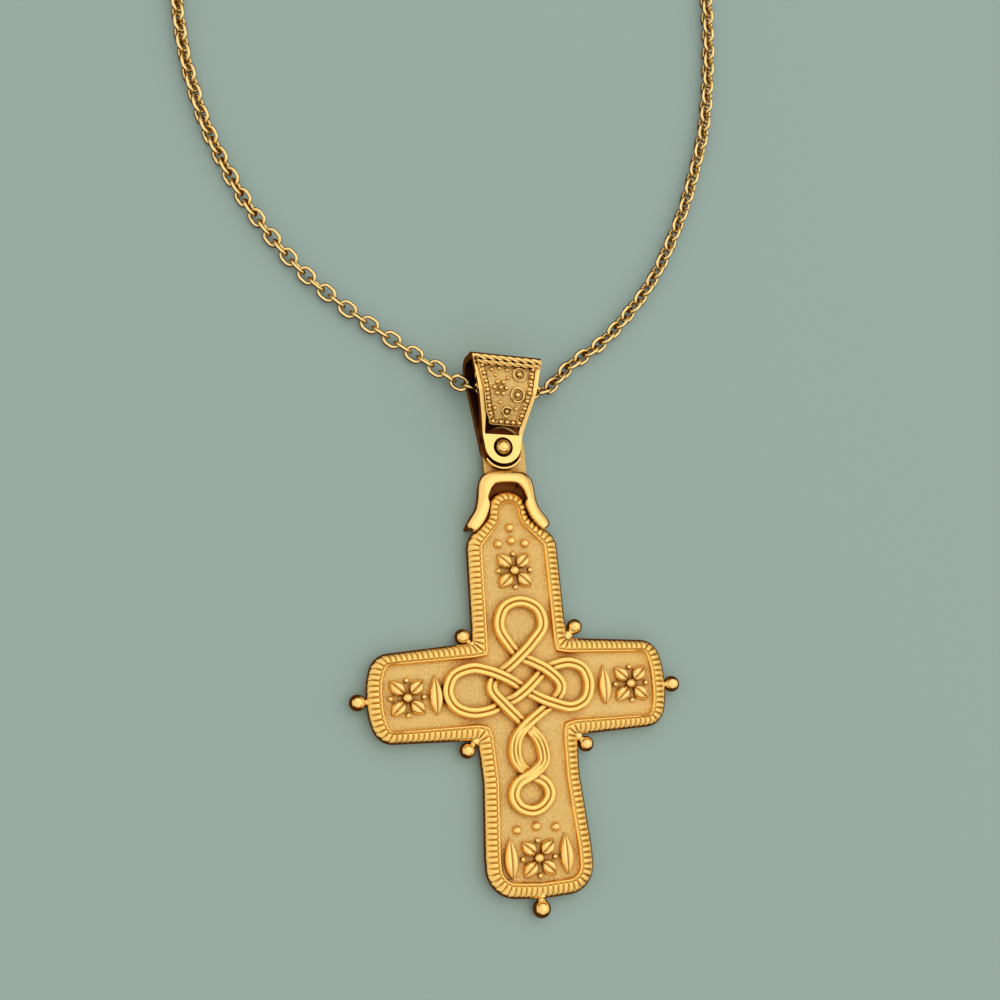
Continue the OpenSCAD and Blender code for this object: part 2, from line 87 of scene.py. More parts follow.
def linear(hex_code: str) -> tuple[float, float, float, float]:
    """Turns an sRGB colour to linear light.

    Args:
        hex_code: the colour as "#rrggbb".

    Returns:
        Red, green, blue and an alpha of 1.
    """
    parts = [int(hex_code[i : i + 2], 16) / 255 for i in (1, 3, 5)]
    light = [p / 12.92 if p <= 0.04045 else ((p + 0.055) / 1.055) ** 2.4 for p in parts]
    return (light[0], light[1], light[2], 1.0)


def add_node(
    tree: NodeTree,
    kind: str,
    settings: dict[str, object] | None = None,
    inputs: dict[str | int, object] | None = None,
) -> Node:
    """Adds one node with its settings and links.

    Args:
        tree: the node tree that takes it.
        kind: the node's type name.
        settings: values of the node's own properties.
        inputs: for each input, by name or number, a value or the output that feeds it.

    Returns:
        The new node.
    """
    node = tree.nodes.new(kind)
    for name, value in (settings or {}).items():
        setattr(node, name, value)
    for key, value in (inputs or {}).items():
        if isinstance(value, NodeSocket):
            tree.links.new(value, node.inputs[key])
        else:
            node.inputs[key].default_value = value
    return node


@dataclass(frozen=True)
class GoldPlate:
    """A finish of thin gold plate over cast or drawn silver.

    Attributes:
        name: what the finish is called.
        colour: the plate in the open.
        crevice_shade_colour: painted shade, the darker and redder colour that the plate takes in crevices and
            near walls, where shade falls.
        roughness: how far the polish spreads a highlight.
        roughness_spread: how much the roughness wanders over the surface.
        grain_mm: width of the surface's grains or polishing pits, drawn as coarse as they need to show.
        grain_height_mm: height of the grains.
        wave_mm: width of the slow unevenness that casting and hand polish leave.
        wave_height_mm: height of that unevenness.
        crevice_mm: how near a wall must be for the painted crevice shade to start.
    """

    name: str
    colour: str
    crevice_shade_colour: str
    roughness: float
    roughness_spread: float
    grain_mm: float
    grain_height_mm: float
    wave_mm: float
    wave_height_mm: float
    crevice_mm: float

    # Detail and roughness of the grain's noise and of the waves'
    GRAIN_NOISE = (3.0, 0.6)
    WAVE_NOISE = (2.0, 0.5)
    # Most of the noise's values lie between these
    NOISE_RANGE = (0.3, 0.7)
    # Share of open surroundings at which the colour is all painted crevice shade, and at which it is as in
    # the open
    OPEN_RANGE = (0.25, 0.85)
    CREVICE_SAMPLES = 6

    def build(self) -> Material:
        """Makes the material.

        Returns:
            A metal whose crevices carry painted shade, darker and redder, and whose surface carries grain and
            waves.
        """
        material = bpy.data.materials.new(self.name)
        material.use_nodes = True
        tree = material.node_tree
        place = add_node(tree, "ShaderNodeTexCoord").outputs["Object"]
        grain, wave = (
            add_node(tree, "ShaderNodeTexNoise", inputs={
                "Vector": place, "Scale": 1 / (size * MM), "Detail": detail, "Roughness": rough,
            }).outputs["Fac"]
            for size, (detail, rough) in ((self.grain_mm, self.GRAIN_NOISE), (self.wave_mm, self.WAVE_NOISE))
        )
        # Painted shade: ambient occlusion mixes the colour towards a darker, redder one in crevices and near
        # walls, where shade falls.
        crevice = add_node(
            tree, "ShaderNodeAmbientOcclusion", {"samples": self.CREVICE_SAMPLES},
            {"Distance": self.crevice_mm * MM},
        )
        openness = add_node(tree, "ShaderNodeMapRange", inputs={
            "Value": crevice.outputs["AO"], "From Min": self.OPEN_RANGE[0], "From Max": self.OPEN_RANGE[1],
        })
        colour = add_node(tree, "ShaderNodeMix", {"data_type": "RGBA"}, {
            "Factor": openness.outputs["Result"], "A": linear(self.crevice_shade_colour), "B": linear(self.colour),
        })
        roughness = add_node(tree, "ShaderNodeMapRange", inputs={
            "Value": wave, "From Min": self.NOISE_RANGE[0], "From Max": self.NOISE_RANGE[1],
            "To Min": self.roughness - self.roughness_spread,
            "To Max": self.roughness + self.roughness_spread,
        })
        waves = add_node(tree, "ShaderNodeBump", inputs={
            "Height": wave, "Distance": self.wave_height_mm * MM,
        })
        bumps = add_node(tree, "ShaderNodeBump", inputs={
            "Height": grain, "Distance": self.grain_height_mm * MM, "Normal": waves.outputs["Normal"],
        })
        shader = tree.nodes["Principled BSDF"]
        shader.inputs["Metallic"].default_value = 1.0
        for node, output, socket in (
            (colour, "Result", "Base Color"), (roughness, "Result", "Roughness"), (bumps, "Normal", "Normal")
        ):
            tree.links.new(node.outputs[output], shader.inputs[socket])
        return material


# Lost-wax cast plate, left matt in the sunk field: a pale, even glow with a fine sandy grain. Real grit
# is finer than the 0.2 mm that is drawn here.
SATIN_GOLD = GoldPlate(
    name="satin_cast_gold_plate", colour="#f8d384", crevice_shade_colour="#ad681f",
    roughness=0.42, roughness_spread=0.05, grain_mm=0.20, grain_height_mm=0.22,
    wave_mm=2.2, wave_height_mm=0.03, crevice_mm=0.8,
)
# The same casting with its raised work buffed: soft highlights along every ridge, and painted shade that
# makes its cuts dark and warm.
BUFFED_GOLD = GoldPlate(
    name="buffed_cast_gold_plate", colour="#fccd70", crevice_shade_colour="#6a3808",
    roughness=0.23, roughness_spread=0.05, grain_mm=0.22, grain_height_mm=0.015,
    wave_mm=1.6, wave_height_mm=0.03, crevice_mm=0.34,
)
# Hand-polished plate on the cap, bail and balls: liquid highlights and dark, sharp reflections.
POLISHED_GOLD = GoldPlate(
    name="polished_gold_plate", colour="#ffd27c", crevice_shade_colour="#5c2c05",
    roughness=0.13, roughness_spread=0.03, grain_mm=0.30, grain_height_mm=0.004,
    wave_mm=2.6, wave_height_mm=0.02, crevice_mm=0.55,
)
# Painted shade: a dull plate in a deep, reddish colour, darker still near walls, stands for the shade inside
# the bail, in the web under the cap and under the bail's tongue.
SHADE_PAINTED_GOLD = GoldPlate(
    name="shade_painted_gold_plate", colour="#7f461b", crevice_shade_colour="#140702",
    roughness=0.34, roughness_spread=0.06, grain_mm=0.18, grain_height_mm=0.03,
    wave_mm=1.4, wave_height_mm=0.04, crevice_mm=4.0,
)
# Drawn and tumbled chain wire in a paler plate: thin bright lines, almost white.
WIRE_GOLD = GoldPlate(
    name="tumbled_pale_gold_wire", colour="#f8d78c", crevice_shade_colour="#5b3f14",
    roughness=0.16, roughness_spread=0.03, grain_mm=0.20, grain_height_mm=0.005,
    wave_mm=1.2, wave_height_mm=0.01, crevice_mm=0.30,
)


# Meshes


def placed(points: np.ndarray, place: Matrix) -> np.ndarray:
    """Moves points, whose last axis is x, y and z, to a place."""
    move = np.array(place)
    return points @ move[:3, :3].T + move[:3, 3]


def ring_faces(count: int, size: int, closed: bool) -> list[tuple[int, ...]]:
    """Joins rings of points with quads.

    Args:
        count: how many rings there are.
        size: how many points a ring has.
        closed: whether the last ring joins the first.

    Returns:
        The quads, by point number.
    """
    faces = []
    for i in range(count if closed else count - 1):
        here, ahead = i * size, (i + 1) % count * size
        for j in range(size):
            beside = (j + 1) % size
            faces.append((here + j, here + beside, ahead + beside, ahead + j))
    return faces


@dataclass
class Shell:
    """Faces gathered for one piece, before they become a mesh.

    Attributes:
        points: blocks of points, in millimetres.
        faces: faces by point number, over all blocks.
        finishes: the finish's number for each face.
    """

    points: list[np.ndarray] = field(default_factory=list)
    faces: list[tuple[int, ...]] = field(default_factory=list)
    finishes: list[int] = field(default_factory=list)

    def add(self, points: np.ndarray, faces: Sequence[Sequence[int]], finish: int = 0) -> None:
        """Adds a block of points and faces.

        Args:
            points: rows of x, y and z.
            faces: faces numbered from the block's first point.
            finish: the number of the finish that they take.
        """
        start = sum(len(block) for block in self.points)
        self.points.append(np.asarray(points, float))
        self.faces.extend(tuple(start + k for k in face) for face in faces)
        self.finishes.extend([finish] * len(faces))

    def sweep(self, rings: np.ndarray, closed: bool = False, finish: int = 0) -> None:
        """Adds a tube through rings of points, with flat ends unless it is closed.

        Args:
            rings: an array of rings, points and x, y, z.
            closed: whether the last ring joins the first.
            finish: the number of the finish that it takes.
        """
        count, size = rings.shape[:2]
        faces = ring_faces(count, size, closed)
        if not closed:
            faces.append(tuple(range(size - 1, -1, -1)))
            faces.append(tuple((count - 1) * size + j for j in range(size)))
        self.add(rings.reshape(-1, 3), faces, finish)

    def lathe(
        self, profile: Sequence[tuple[float, float]], place: Matrix, steps: int, finish: int = 0
    ) -> None:
        """Adds a turned form.

        Args:
            profile: rows of radius and height. A radius of almost 0 at either end closes it.
            place: where the turning axis, local Z, stands.
            steps: how many sides a full turn has.
            finish: the number of the finish that it takes.
        """
        angles = round_steps(steps)
        rings = np.array([[(r * math.cos(a), r * math.sin(a), h) for a in angles] for r, h in profile])
        self.sweep(placed(rings, place), finish=finish)

    def moved(self, place: Matrix) -> "Shell":
        """Gives the same faces somewhere else.

        Args:
            place: how the points move.

        Returns:
            A new shell.
        """
        return Shell([placed(block, place) for block in self.points], self.faces, self.finishes)

    def to_mesh(self, name: str) -> Mesh:
        """Makes a mesh in metres whose faces look outwards.

        Args:
            name: the mesh's name.

        Returns:
            The mesh, with no finish yet.
        """
        mesh = bpy.data.meshes.new(name)
        mesh.from_pydata((np.vstack(self.points) * MM).tolist(), [], self.faces)
        mesh.polygons.foreach_set("material_index", self.finishes)
        rework(mesh)
        return mesh

    def to_piece(
        self, name: str, finishes: Sequence[Material], body: Body, slot: Slot, crease_deg: float = 42.0
    ) -> Object:
        """Makes the piece and puts it on its body.

        Args:
            name: the piece's name.
            finishes: the materials, in the order of the faces' numbers.
            body: what it moves with.
            slot: the record's slot that its finish belongs to; not used.
            crease_deg: edges sharper than this stay crisp.

        Returns:
            The piece.
        """
        return dress(self.to_mesh(name), name, finishes, body, crease_deg)


def dress(
    mesh: Mesh, name: str, finishes: Sequence[Material], body: Body, crease_deg: float
) -> Object:
    """Turns a mesh into a shown piece that rides on a body.

    Args:
        mesh: its shape.
        name: its name.
        finishes: its materials.
        body: what it moves with.
        crease_deg: edges sharper than this stay crisp.

    Returns:
        The piece.
    """
    for finish in finishes:
        mesh.materials.append(finish)
    mesh.shade_smooth()
    mesh.set_sharp_from_angle(angle=math.radians(crease_deg))
    piece = bpy.data.objects.new(name, mesh)
    bpy.context.scene.collection.objects.link(piece)
    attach(piece, body.value)
    LOG.info("%s: %d triangles", name, sum(len(face.vertices) - 2 for face in mesh.polygons))
    return piece


def rework(mesh: Mesh, *changes: Callable[[BMesh], object]) -> None:
    """Changes a mesh and turns its faces outwards.

    Args:
        mesh: the mesh.
        changes: what is done to it, in order.
    """
    work = bmesh.new()
    work.from_mesh(mesh)
    for change in changes:
        change(work)
    bmesh.ops.recalc_face_normals(work, faces=work.faces)
    work.to_mesh(mesh)
    work.free()


def weld(mesh: Mesh, apart: float = 1e-4) -> None:
    """Joins points of a mesh that lie within a small distance of each other, in millimetres."""
    rework(mesh, lambda work: bmesh.ops.remove_doubles(work, verts=work.verts, dist=apart * MM))


def soften(mesh: Mesh, width: float, sharper_than_deg: float) -> None:
    """Rounds the sharp edges of a mesh.

    Args:
        mesh: the mesh to change.
        width: how far from the edge the rounding starts, in millimetres.
        sharper_than_deg: edges that turn by more than this are rounded.
    """
    limit = math.radians(sharper_than_deg)
    tiny = 0.004 * MM

    def bevel(work: BMesh) -> None:
        """Clears tiny edges away and bevels the sharp ones.

        Args:
            work: the opened mesh.
        """
        bmesh.ops.remove_doubles(work, verts=work.verts, dist=tiny)
        bmesh.ops.dissolve_degenerate(work, edges=work.edges, dist=tiny)
        edges = [e for e in work.edges if len(e.link_faces) == 2 and e.calc_face_angle(0.0) > limit]
        bmesh.ops.bevel(
            work, geom=edges, affect="EDGES", offset=width * MM, offset_type="OFFSET", segments=3,
            profile=0.6, clamp_overlap=True,
        )

    rework(mesh, bevel)


def cut(mesh: Mesh, tools: Sequence[Mesh]) -> Mesh:
    """Cuts closed forms out of a mesh.

    Args:
        mesh: the mesh to cut.
        tools: the forms that come out of it.

    Returns:
        The mesh that is left.
    """
    scene = bpy.context.scene
    body = bpy.data.objects.new("body_to_cut", mesh)
    scene.collection.objects.link(body)
    cutters = [bpy.data.objects.new("cutter", tool) for tool in tools]
    for cutter in cutters:
        scene.collection.objects.link(cutter)
        step = body.modifiers.new("cut", "BOOLEAN")
        step.operation = "DIFFERENCE"
        step.solver = "EXACT"
        step.object = cutter
    result = bpy.data.meshes.new_from_object(body.evaluated_get(bpy.context.evaluated_depsgraph_get()))
    for spent in [body, *cutters]:
        bpy.data.objects.remove(spent)
    result.materials.clear()
    result.name = mesh.name
    return result


# Curves and outlines


def part_way(low: float, high: float, value: float) -> float:
    """Goes evenly from 0 at low to 1 at high."""
    return min(1.0, max(0.0, (value - low) / (high - low)))


def ease(low: float, high: float, value: float) -> float:
    """Goes from 0 at low to 1 at high, with soft ends."""
    t = part_way(low, high, value)
    return t * t * (3 - 2 * t)


def round_steps(count: int) -> np.ndarray:
    """Gives the angles of evenly spaced steps round a circle."""
    return np.linspace(0, 2 * math.pi, count, endpoint=False)


def unit(vector: np.ndarray) -> np.ndarray:
    """Gives vectors a length of 1, along their last axis."""
    return vector / np.linalg.norm(vector, axis=-1, keepdims=True)


def lengths(path: np.ndarray) -> np.ndarray:
    """Measures how far along a path each of its points is."""
    return np.concatenate([[0], np.cumsum(np.linalg.norm(np.diff(path, axis=0), axis=1))])


def smooth_loop(points: np.ndarray, steps: int) -> np.ndarray:
    """Draws a smooth closed curve through points.

    Args:
        points: rows of any number of columns.
        steps: how many steps there are from one row to the next.

    Returns:
        The curve's points.
    """
    before, after, beyond = np.roll(points, 1, 0), np.roll(points, -1, 0), np.roll(points, -2, 0)
    slope = after - before
    bow = 2 * before - 5 * points + 4 * after - beyond
    bend = 3 * points - before - 3 * after + beyond
    curve = [0.5 * (2 * points + slope * t + bow * t**2 + bend * t**3) for t in np.arange(steps) / steps]
    return np.stack(curve, axis=1).reshape(-1, points.shape[1])


def smooth_line(points: np.ndarray, steps: int) -> np.ndarray:
    """Draws a smooth open curve through points.

    Args:
        points: rows of any number of columns.
        steps: how many steps there are from one row to the next.

    Returns:
        The curve's points, with both ends.
    """
    padded = np.vstack([2 * points[0] - points[1], points, 2 * points[-1] - points[-2]])
    curve = smooth_loop(padded, steps)
    return curve[steps : steps * len(points) + 1]


def headings(path: np.ndarray, closed: bool) -> np.ndarray:
    """Finds which way a path runs at each of its points.

    Args:
        path: rows of coordinates.
        closed: whether the last point joins the first.

    Returns:
        A unit vector for each point.
    """
    if closed:
        return unit(np.roll(path, -1, 0) - np.roll(path, 1, 0))
    return unit(np.gradient(path, axis=0))


def stood_across(x: float, y: float, way: np.ndarray, section: Sequence[tuple[float, float]]) -> np.ndarray:
    """Stands a section across a level path.

    Args:
        x: the path's point.
        y: the path's point.
        way: the way that the path runs there.
        section: distance to the path's left, and height.

    Returns:
        The section's points.
    """
    left, height = np.array(section, float).T
    return np.column_stack([x - way[1] * left, y + way[0] * left, height])


def round_wire(path: np.ndarray, radius: float, sides: int) -> np.ndarray:
    """Sweeps a round wire along an open path that stays roughly level.

    Args:
        path: rows of x, y and z.
        radius: the wire's radius.
        sides: how many sides its section has.

    Returns:
        The rings of the wire.
    """
    along = headings(path, closed=False)
    across = unit(np.cross(along, [0.0, 0.0, 1.0]))
    up = np.cross(across, along)
    angles = round_steps(sides)
    spokes = np.cos(angles)[None, :, None] * across[:, None] + np.sin(angles)[None, :, None] * up[:, None]
    return path[:, None] + spokes * radius


def dome_arc(radius: float, height: float, foot: float, step_deg: float) -> list[tuple[float, float]]:
    """Draws a dome from its rim almost to its top.

    Args:
        radius: the dome's radius.
        height: its height.
        foot: where its rim is.
        step_deg: the turn from one point to the next.

    Returns:
        Rows of radius and height.
    """
    turns = np.radians(np.arange(0, 88, step_deg))
    return [(radius * math.cos(a), height * math.sin(a) + foot) for a in turns]


class Corner(NamedTuple):
    """A corner of an outline, the radius that rounds it, and how far lines inside it keep a mitre, 0 to 1."""

    x: float
    y: float
    radius: float
    mitre: float = 0.0


class Arc(NamedTuple):
    """The arc in a corner.

    It has its middle, its start as seen from there, its first angle, how far it turns, and half of the
    corner's own angle.
    """

    centre: np.ndarray
    start: np.ndarray
    first: float
    swing: float
    half: float

    def spoke(self, t: float) -> np.ndarray:
        """Gives the way from the middle to a point of the arc, for a share of the arc's length."""
        turn = self.first + self.swing * t
        return np.array([math.cos(turn), math.sin(turn)])


def corner_arc(before: Corner, corner: Corner, after: Corner) -> Arc:
    """Fits an arc in a corner.

    Args:
        before: the corner before it.
        corner: the corner.
        after: the corner after it.

    Returns:
        The arc.
    """
    here = np.array(corner[:2])
    back = unit(np.array(before[:2]) - here)
    ahead = unit(np.array(after[:2]) - here)
    half = math.acos(float(back @ ahead)) / 2
    centre = here + unit(back + ahead) * corner.radius / math.sin(half)
    start = here + back * corner.radius / math.tan(half) - centre
    end = here + ahead * corner.radius / math.tan(half) - centre
    swing = math.atan2(start[0] * end[1] - start[1] * end[0], float(start @ end))
    return Arc(centre, start, math.atan2(start[1], start[0]), swing, half)


def rounded(corners: Sequence[Corner], step_deg: float = 3.0) -> tuple[np.ndarray, np.ndarray]:
    """Rounds the corners of a clockwise outline.

    Args:
        corners: the outline's corners in order.
        step_deg: the largest turn from one point of an arc to the next.

    Returns:
        The outline's points, and the way inwards at each of them: a unit normal, or longer in a mitre.
    """
    points: list[np.ndarray] = []
    normals: list[np.ndarray] = []
    for k, corner in enumerate(corners):
        arc = corner_arc(corners[k - 1], corner, corners[(k + 1) % len(corners)])
        steps = max(2, math.ceil(abs(math.degrees(arc.swing)) / step_deg))
        inwards = -1.0 if arc.swing < 0 else 1.0
        first, last = arc.spoke(0.0), arc.spoke(1.0)
        tip = unit(first + last) / math.sin(arc.half)
        for t in np.linspace(0, 1, steps + 1):
            side = first if t < 0.5 else last
            mitred = side + (tip - side) * (1 - abs(2 * t - 1))
            spoke = arc.spoke(t)
            points.append(arc.centre + corner.radius * spoke)
            normals.append(inwards * (spoke + (mitred - spoke) * corner.mitre))
    return np.array(points), np.array(normals)


def filled(points: np.ndarray, inwards: np.ndarray, step: float) -> tuple[np.ndarray, np.ndarray]:
    """Adds points along the straight stretches of a closed outline.

    Args:
        points: the outline's points.
        inwards: the way inwards at each of them.
        step: the longest step to leave.

    Returns:
        The points and the ways inwards, with the new ones.
    """
    table = np.hstack([points, inwards])
    rows = []
    for here, ahead in zip(table, np.roll(table, -1, 0)):
        parts = max(1, math.ceil(float(np.linalg.norm(ahead[:2] - here[:2])) / step))
        rows.extend(here + (ahead - here) * k / parts for k in range(parts))
    full = np.array(rows)
    return full[:, :2], full[:, 2:]


# The cross

# From the pin down to the middle of the crossing
CROSSING_Y = 24.3
# Height of the sunk field over the surface
FIELD_Z = 1.25
# Corners of the plate from the top down, measured from the crossing
CROSS_RIGHT = (
    Corner(2.25, 19.85, 2.05), Corner(2.25, 17.30, 1.00), Corner(5.05, 15.10, 2.20),
    Corner(5.25, 4.95, 0.30, 0.8), Corner(14.75, 4.25, 2.15), Corner(15.45, 1.60, 6.00),
    Corner(15.45, -1.60, 6.00), Corner(14.75, -4.30, 2.15), Corner(5.45, -4.66, 0.30, 0.6),
    Corner(5.40, -8.60, 6.00), Corner(6.00, -15.50, 8.00), Corner(6.00, -19.70, 2.80),
)
CROSS_LEFT = (
    Corner(-1.95, 19.85, 2.05), Corner(-1.95, 17.30, 1.00), Corner(-4.45, 15.10, 2.20),
    Corner(-4.65, 4.95, 0.30, 1.0), Corner(-14.75, 4.25, 2.15), Corner(-15.60, 1.60, 6.00),
    Corner(-15.60, -1.60, 6.00), Corner(-14.75, -4.30, 2.15), Corner(-4.85, -4.52, 0.30, 0.6),
    Corner(-4.62, -8.60, 6.00), Corner(-5.05, -15.50, 8.00), Corner(-5.05, -19.45, 3.00),
    Corner(0.40, -19.95, 8.00),
)


def cross_outline() -> tuple[np.ndarray, np.ndarray]:
    """Draws the plate's outline round the pin.

    Returns:
        Its points, and the way inwards at each of them.
    """
    points, inwards = rounded([*CROSS_RIGHT, *reversed(CROSS_LEFT)])
    return points - [0, CROSSING_Y], inwards


class EdgePoint(NamedTuple):
    """A point of the plate's edge: distance in from the outline, height, and depth of the milled cuts."""

    inset: float
    height: float
    cut: float


@dataclass
class CrossPlate:
    """The plate with its milled border and sunk satin field.

    Attributes:
        rib_pitch: distance from one milled rib to the next.
        pitch_inset: where across the border that distance is measured.
        neck_share: width of the border at the neck, as a share of its width elsewhere.
        neck_low: where the border starts to narrow, measured from the crossing.
        neck_high: where it is narrowest.
        arm_share: width of the border along the arms at their ends, as a share of its width elsewhere.
        arm_in: how far out along the arms the border starts to narrow.
        arm_out: where it is narrowest.
    """

    rib_pitch: float = 0.54
    pitch_inset: float = 0.8
    neck_share: float = 0.74
    neck_low: float = 15.6
    neck_high: float = 17.6
    arm_share: float = 0.8
    arm_in: float = 6.0
    arm_out: float = 13.0

    # From the plate's foot up its side, over the milled border and its plain inner rim, to the field
    EDGE = tuple(EdgePoint(*row) for row in (
        (0.44, 0.00, 0.00), (0.35, 0.06, 0.00), (0.18, 0.50, 0.00), (0.05, 0.88, 0.00), (0.00, 1.12, 0.00),
        (0.01, 1.28, 0.00), (0.05, 1.40, 0.02), (0.12, 1.50, 0.06), (0.22, 1.59, 0.10), (0.34, 1.66, 0.14),
        (0.47, 1.72, 0.17), (0.62, 1.78, 0.19), (0.82, 1.83, 0.20), (1.00, 1.86, 0.20), (1.11, 1.85, 0.17),
        (1.17, 1.79, 0.09), (1.21, 1.71, 0.02), (1.24, 1.70, 0.00), (1.29, 1.76, 0.00), (1.36, 1.79, 0.00),
        (1.43, 1.76, 0.00), (1.48, 1.67, 0.00), (1.52, 1.54, 0.00), (1.58, 1.43, 0.00), (1.67, 1.35, 0.00),
        (1.78, 1.30, 0.00), (1.90, 1.27, 0.00), (2.02, FIELD_Z, 0.00), (2.08, FIELD_Z, 0.00),
    ))
    # How many of those points belong to the satin field
    SATIN_POINTS = 6
    # Share of a rib's pitch, and how deep the cut is there
    RIB = (
        (0.00, 0.7), (0.06, 0.56), (0.13, 0.27), (0.23, 0.08), (0.50, -0.09), (0.77, 0.08), (0.87, 0.27),
        (0.94, 0.56),
    )

    def stations(self) -> tuple[np.ndarray, np.ndarray, np.ndarray]:
        """Spaces the ribs evenly round the border.

        Returns:
            Points on the outline, the way inwards at each, and how deep the cut is there.
        """
        points, inwards = cross_outline()
        up = (points[:, 1] + CROSSING_Y - self.neck_low) / (self.neck_high - self.neck_low)
        out = (np.abs(points[:, 0]) - self.arm_in) / (self.arm_out - self.arm_in)
        inwards = inwards * (1 - (1 - self.neck_share) * np.clip(up, 0, 1))[:, None]
        inwards[:, 1] *= 1 - (1 - self.arm_share) * np.clip(out, 0, 1)
        table = np.hstack([points, inwards])
        table = np.vstack([table, table[:1]])
        along = lengths(table[:, :2] + table[:, 2:] * self.pitch_inset)
        ribs = round(along[-1] / self.rib_pitch)
        places = np.array([(k + share) / ribs * along[-1] for k in range(ribs) for share, _ in self.RIB])
        depth = np.array([cut_deep for _ in range(ribs) for _, cut_deep in self.RIB])
        spread = np.stack([np.interp(places, along, column) for column in table.T], axis=1)
        return spread[:, :2], spread[:, 2:], depth

    def make(self, field_finish: Material, edge_finish: Material) -> Object:
        """Makes the plate.

        Args:
            field_finish: the sunk field's material.
            edge_finish: the border's, the wall's and the back's material.

        Returns:
            The piece.
        """
        points, inwards, depth = self.stations()
        rings = np.array([
            np.column_stack([points + inwards * edge.inset, edge.height - edge.cut * depth])
            for edge in self.EDGE
        ])
        shell = Shell()
        size, satin = len(points), self.SATIN_POINTS
        faces = ring_faces(len(self.EDGE), size, closed=False)
        border = (len(self.EDGE) - satin) * size
        shell.add(rings.reshape(-1, 3), [*faces[:border], tuple(range(size - 1, -1, -1))], finish=1)
        middle = tuple((satin - 1) * size + j for j in range(size))
        shell.add(rings[-satin:].reshape(-1, 3), [*ring_faces(satin, size, closed=False), middle])
        mesh = shell.to_mesh("cross_plate")
        weld(mesh)
        finishes = [field_finish, edge_finish]
        return dress(mesh, "cross_plate", finishes, Body.PENDANT, crease_deg=55.0)


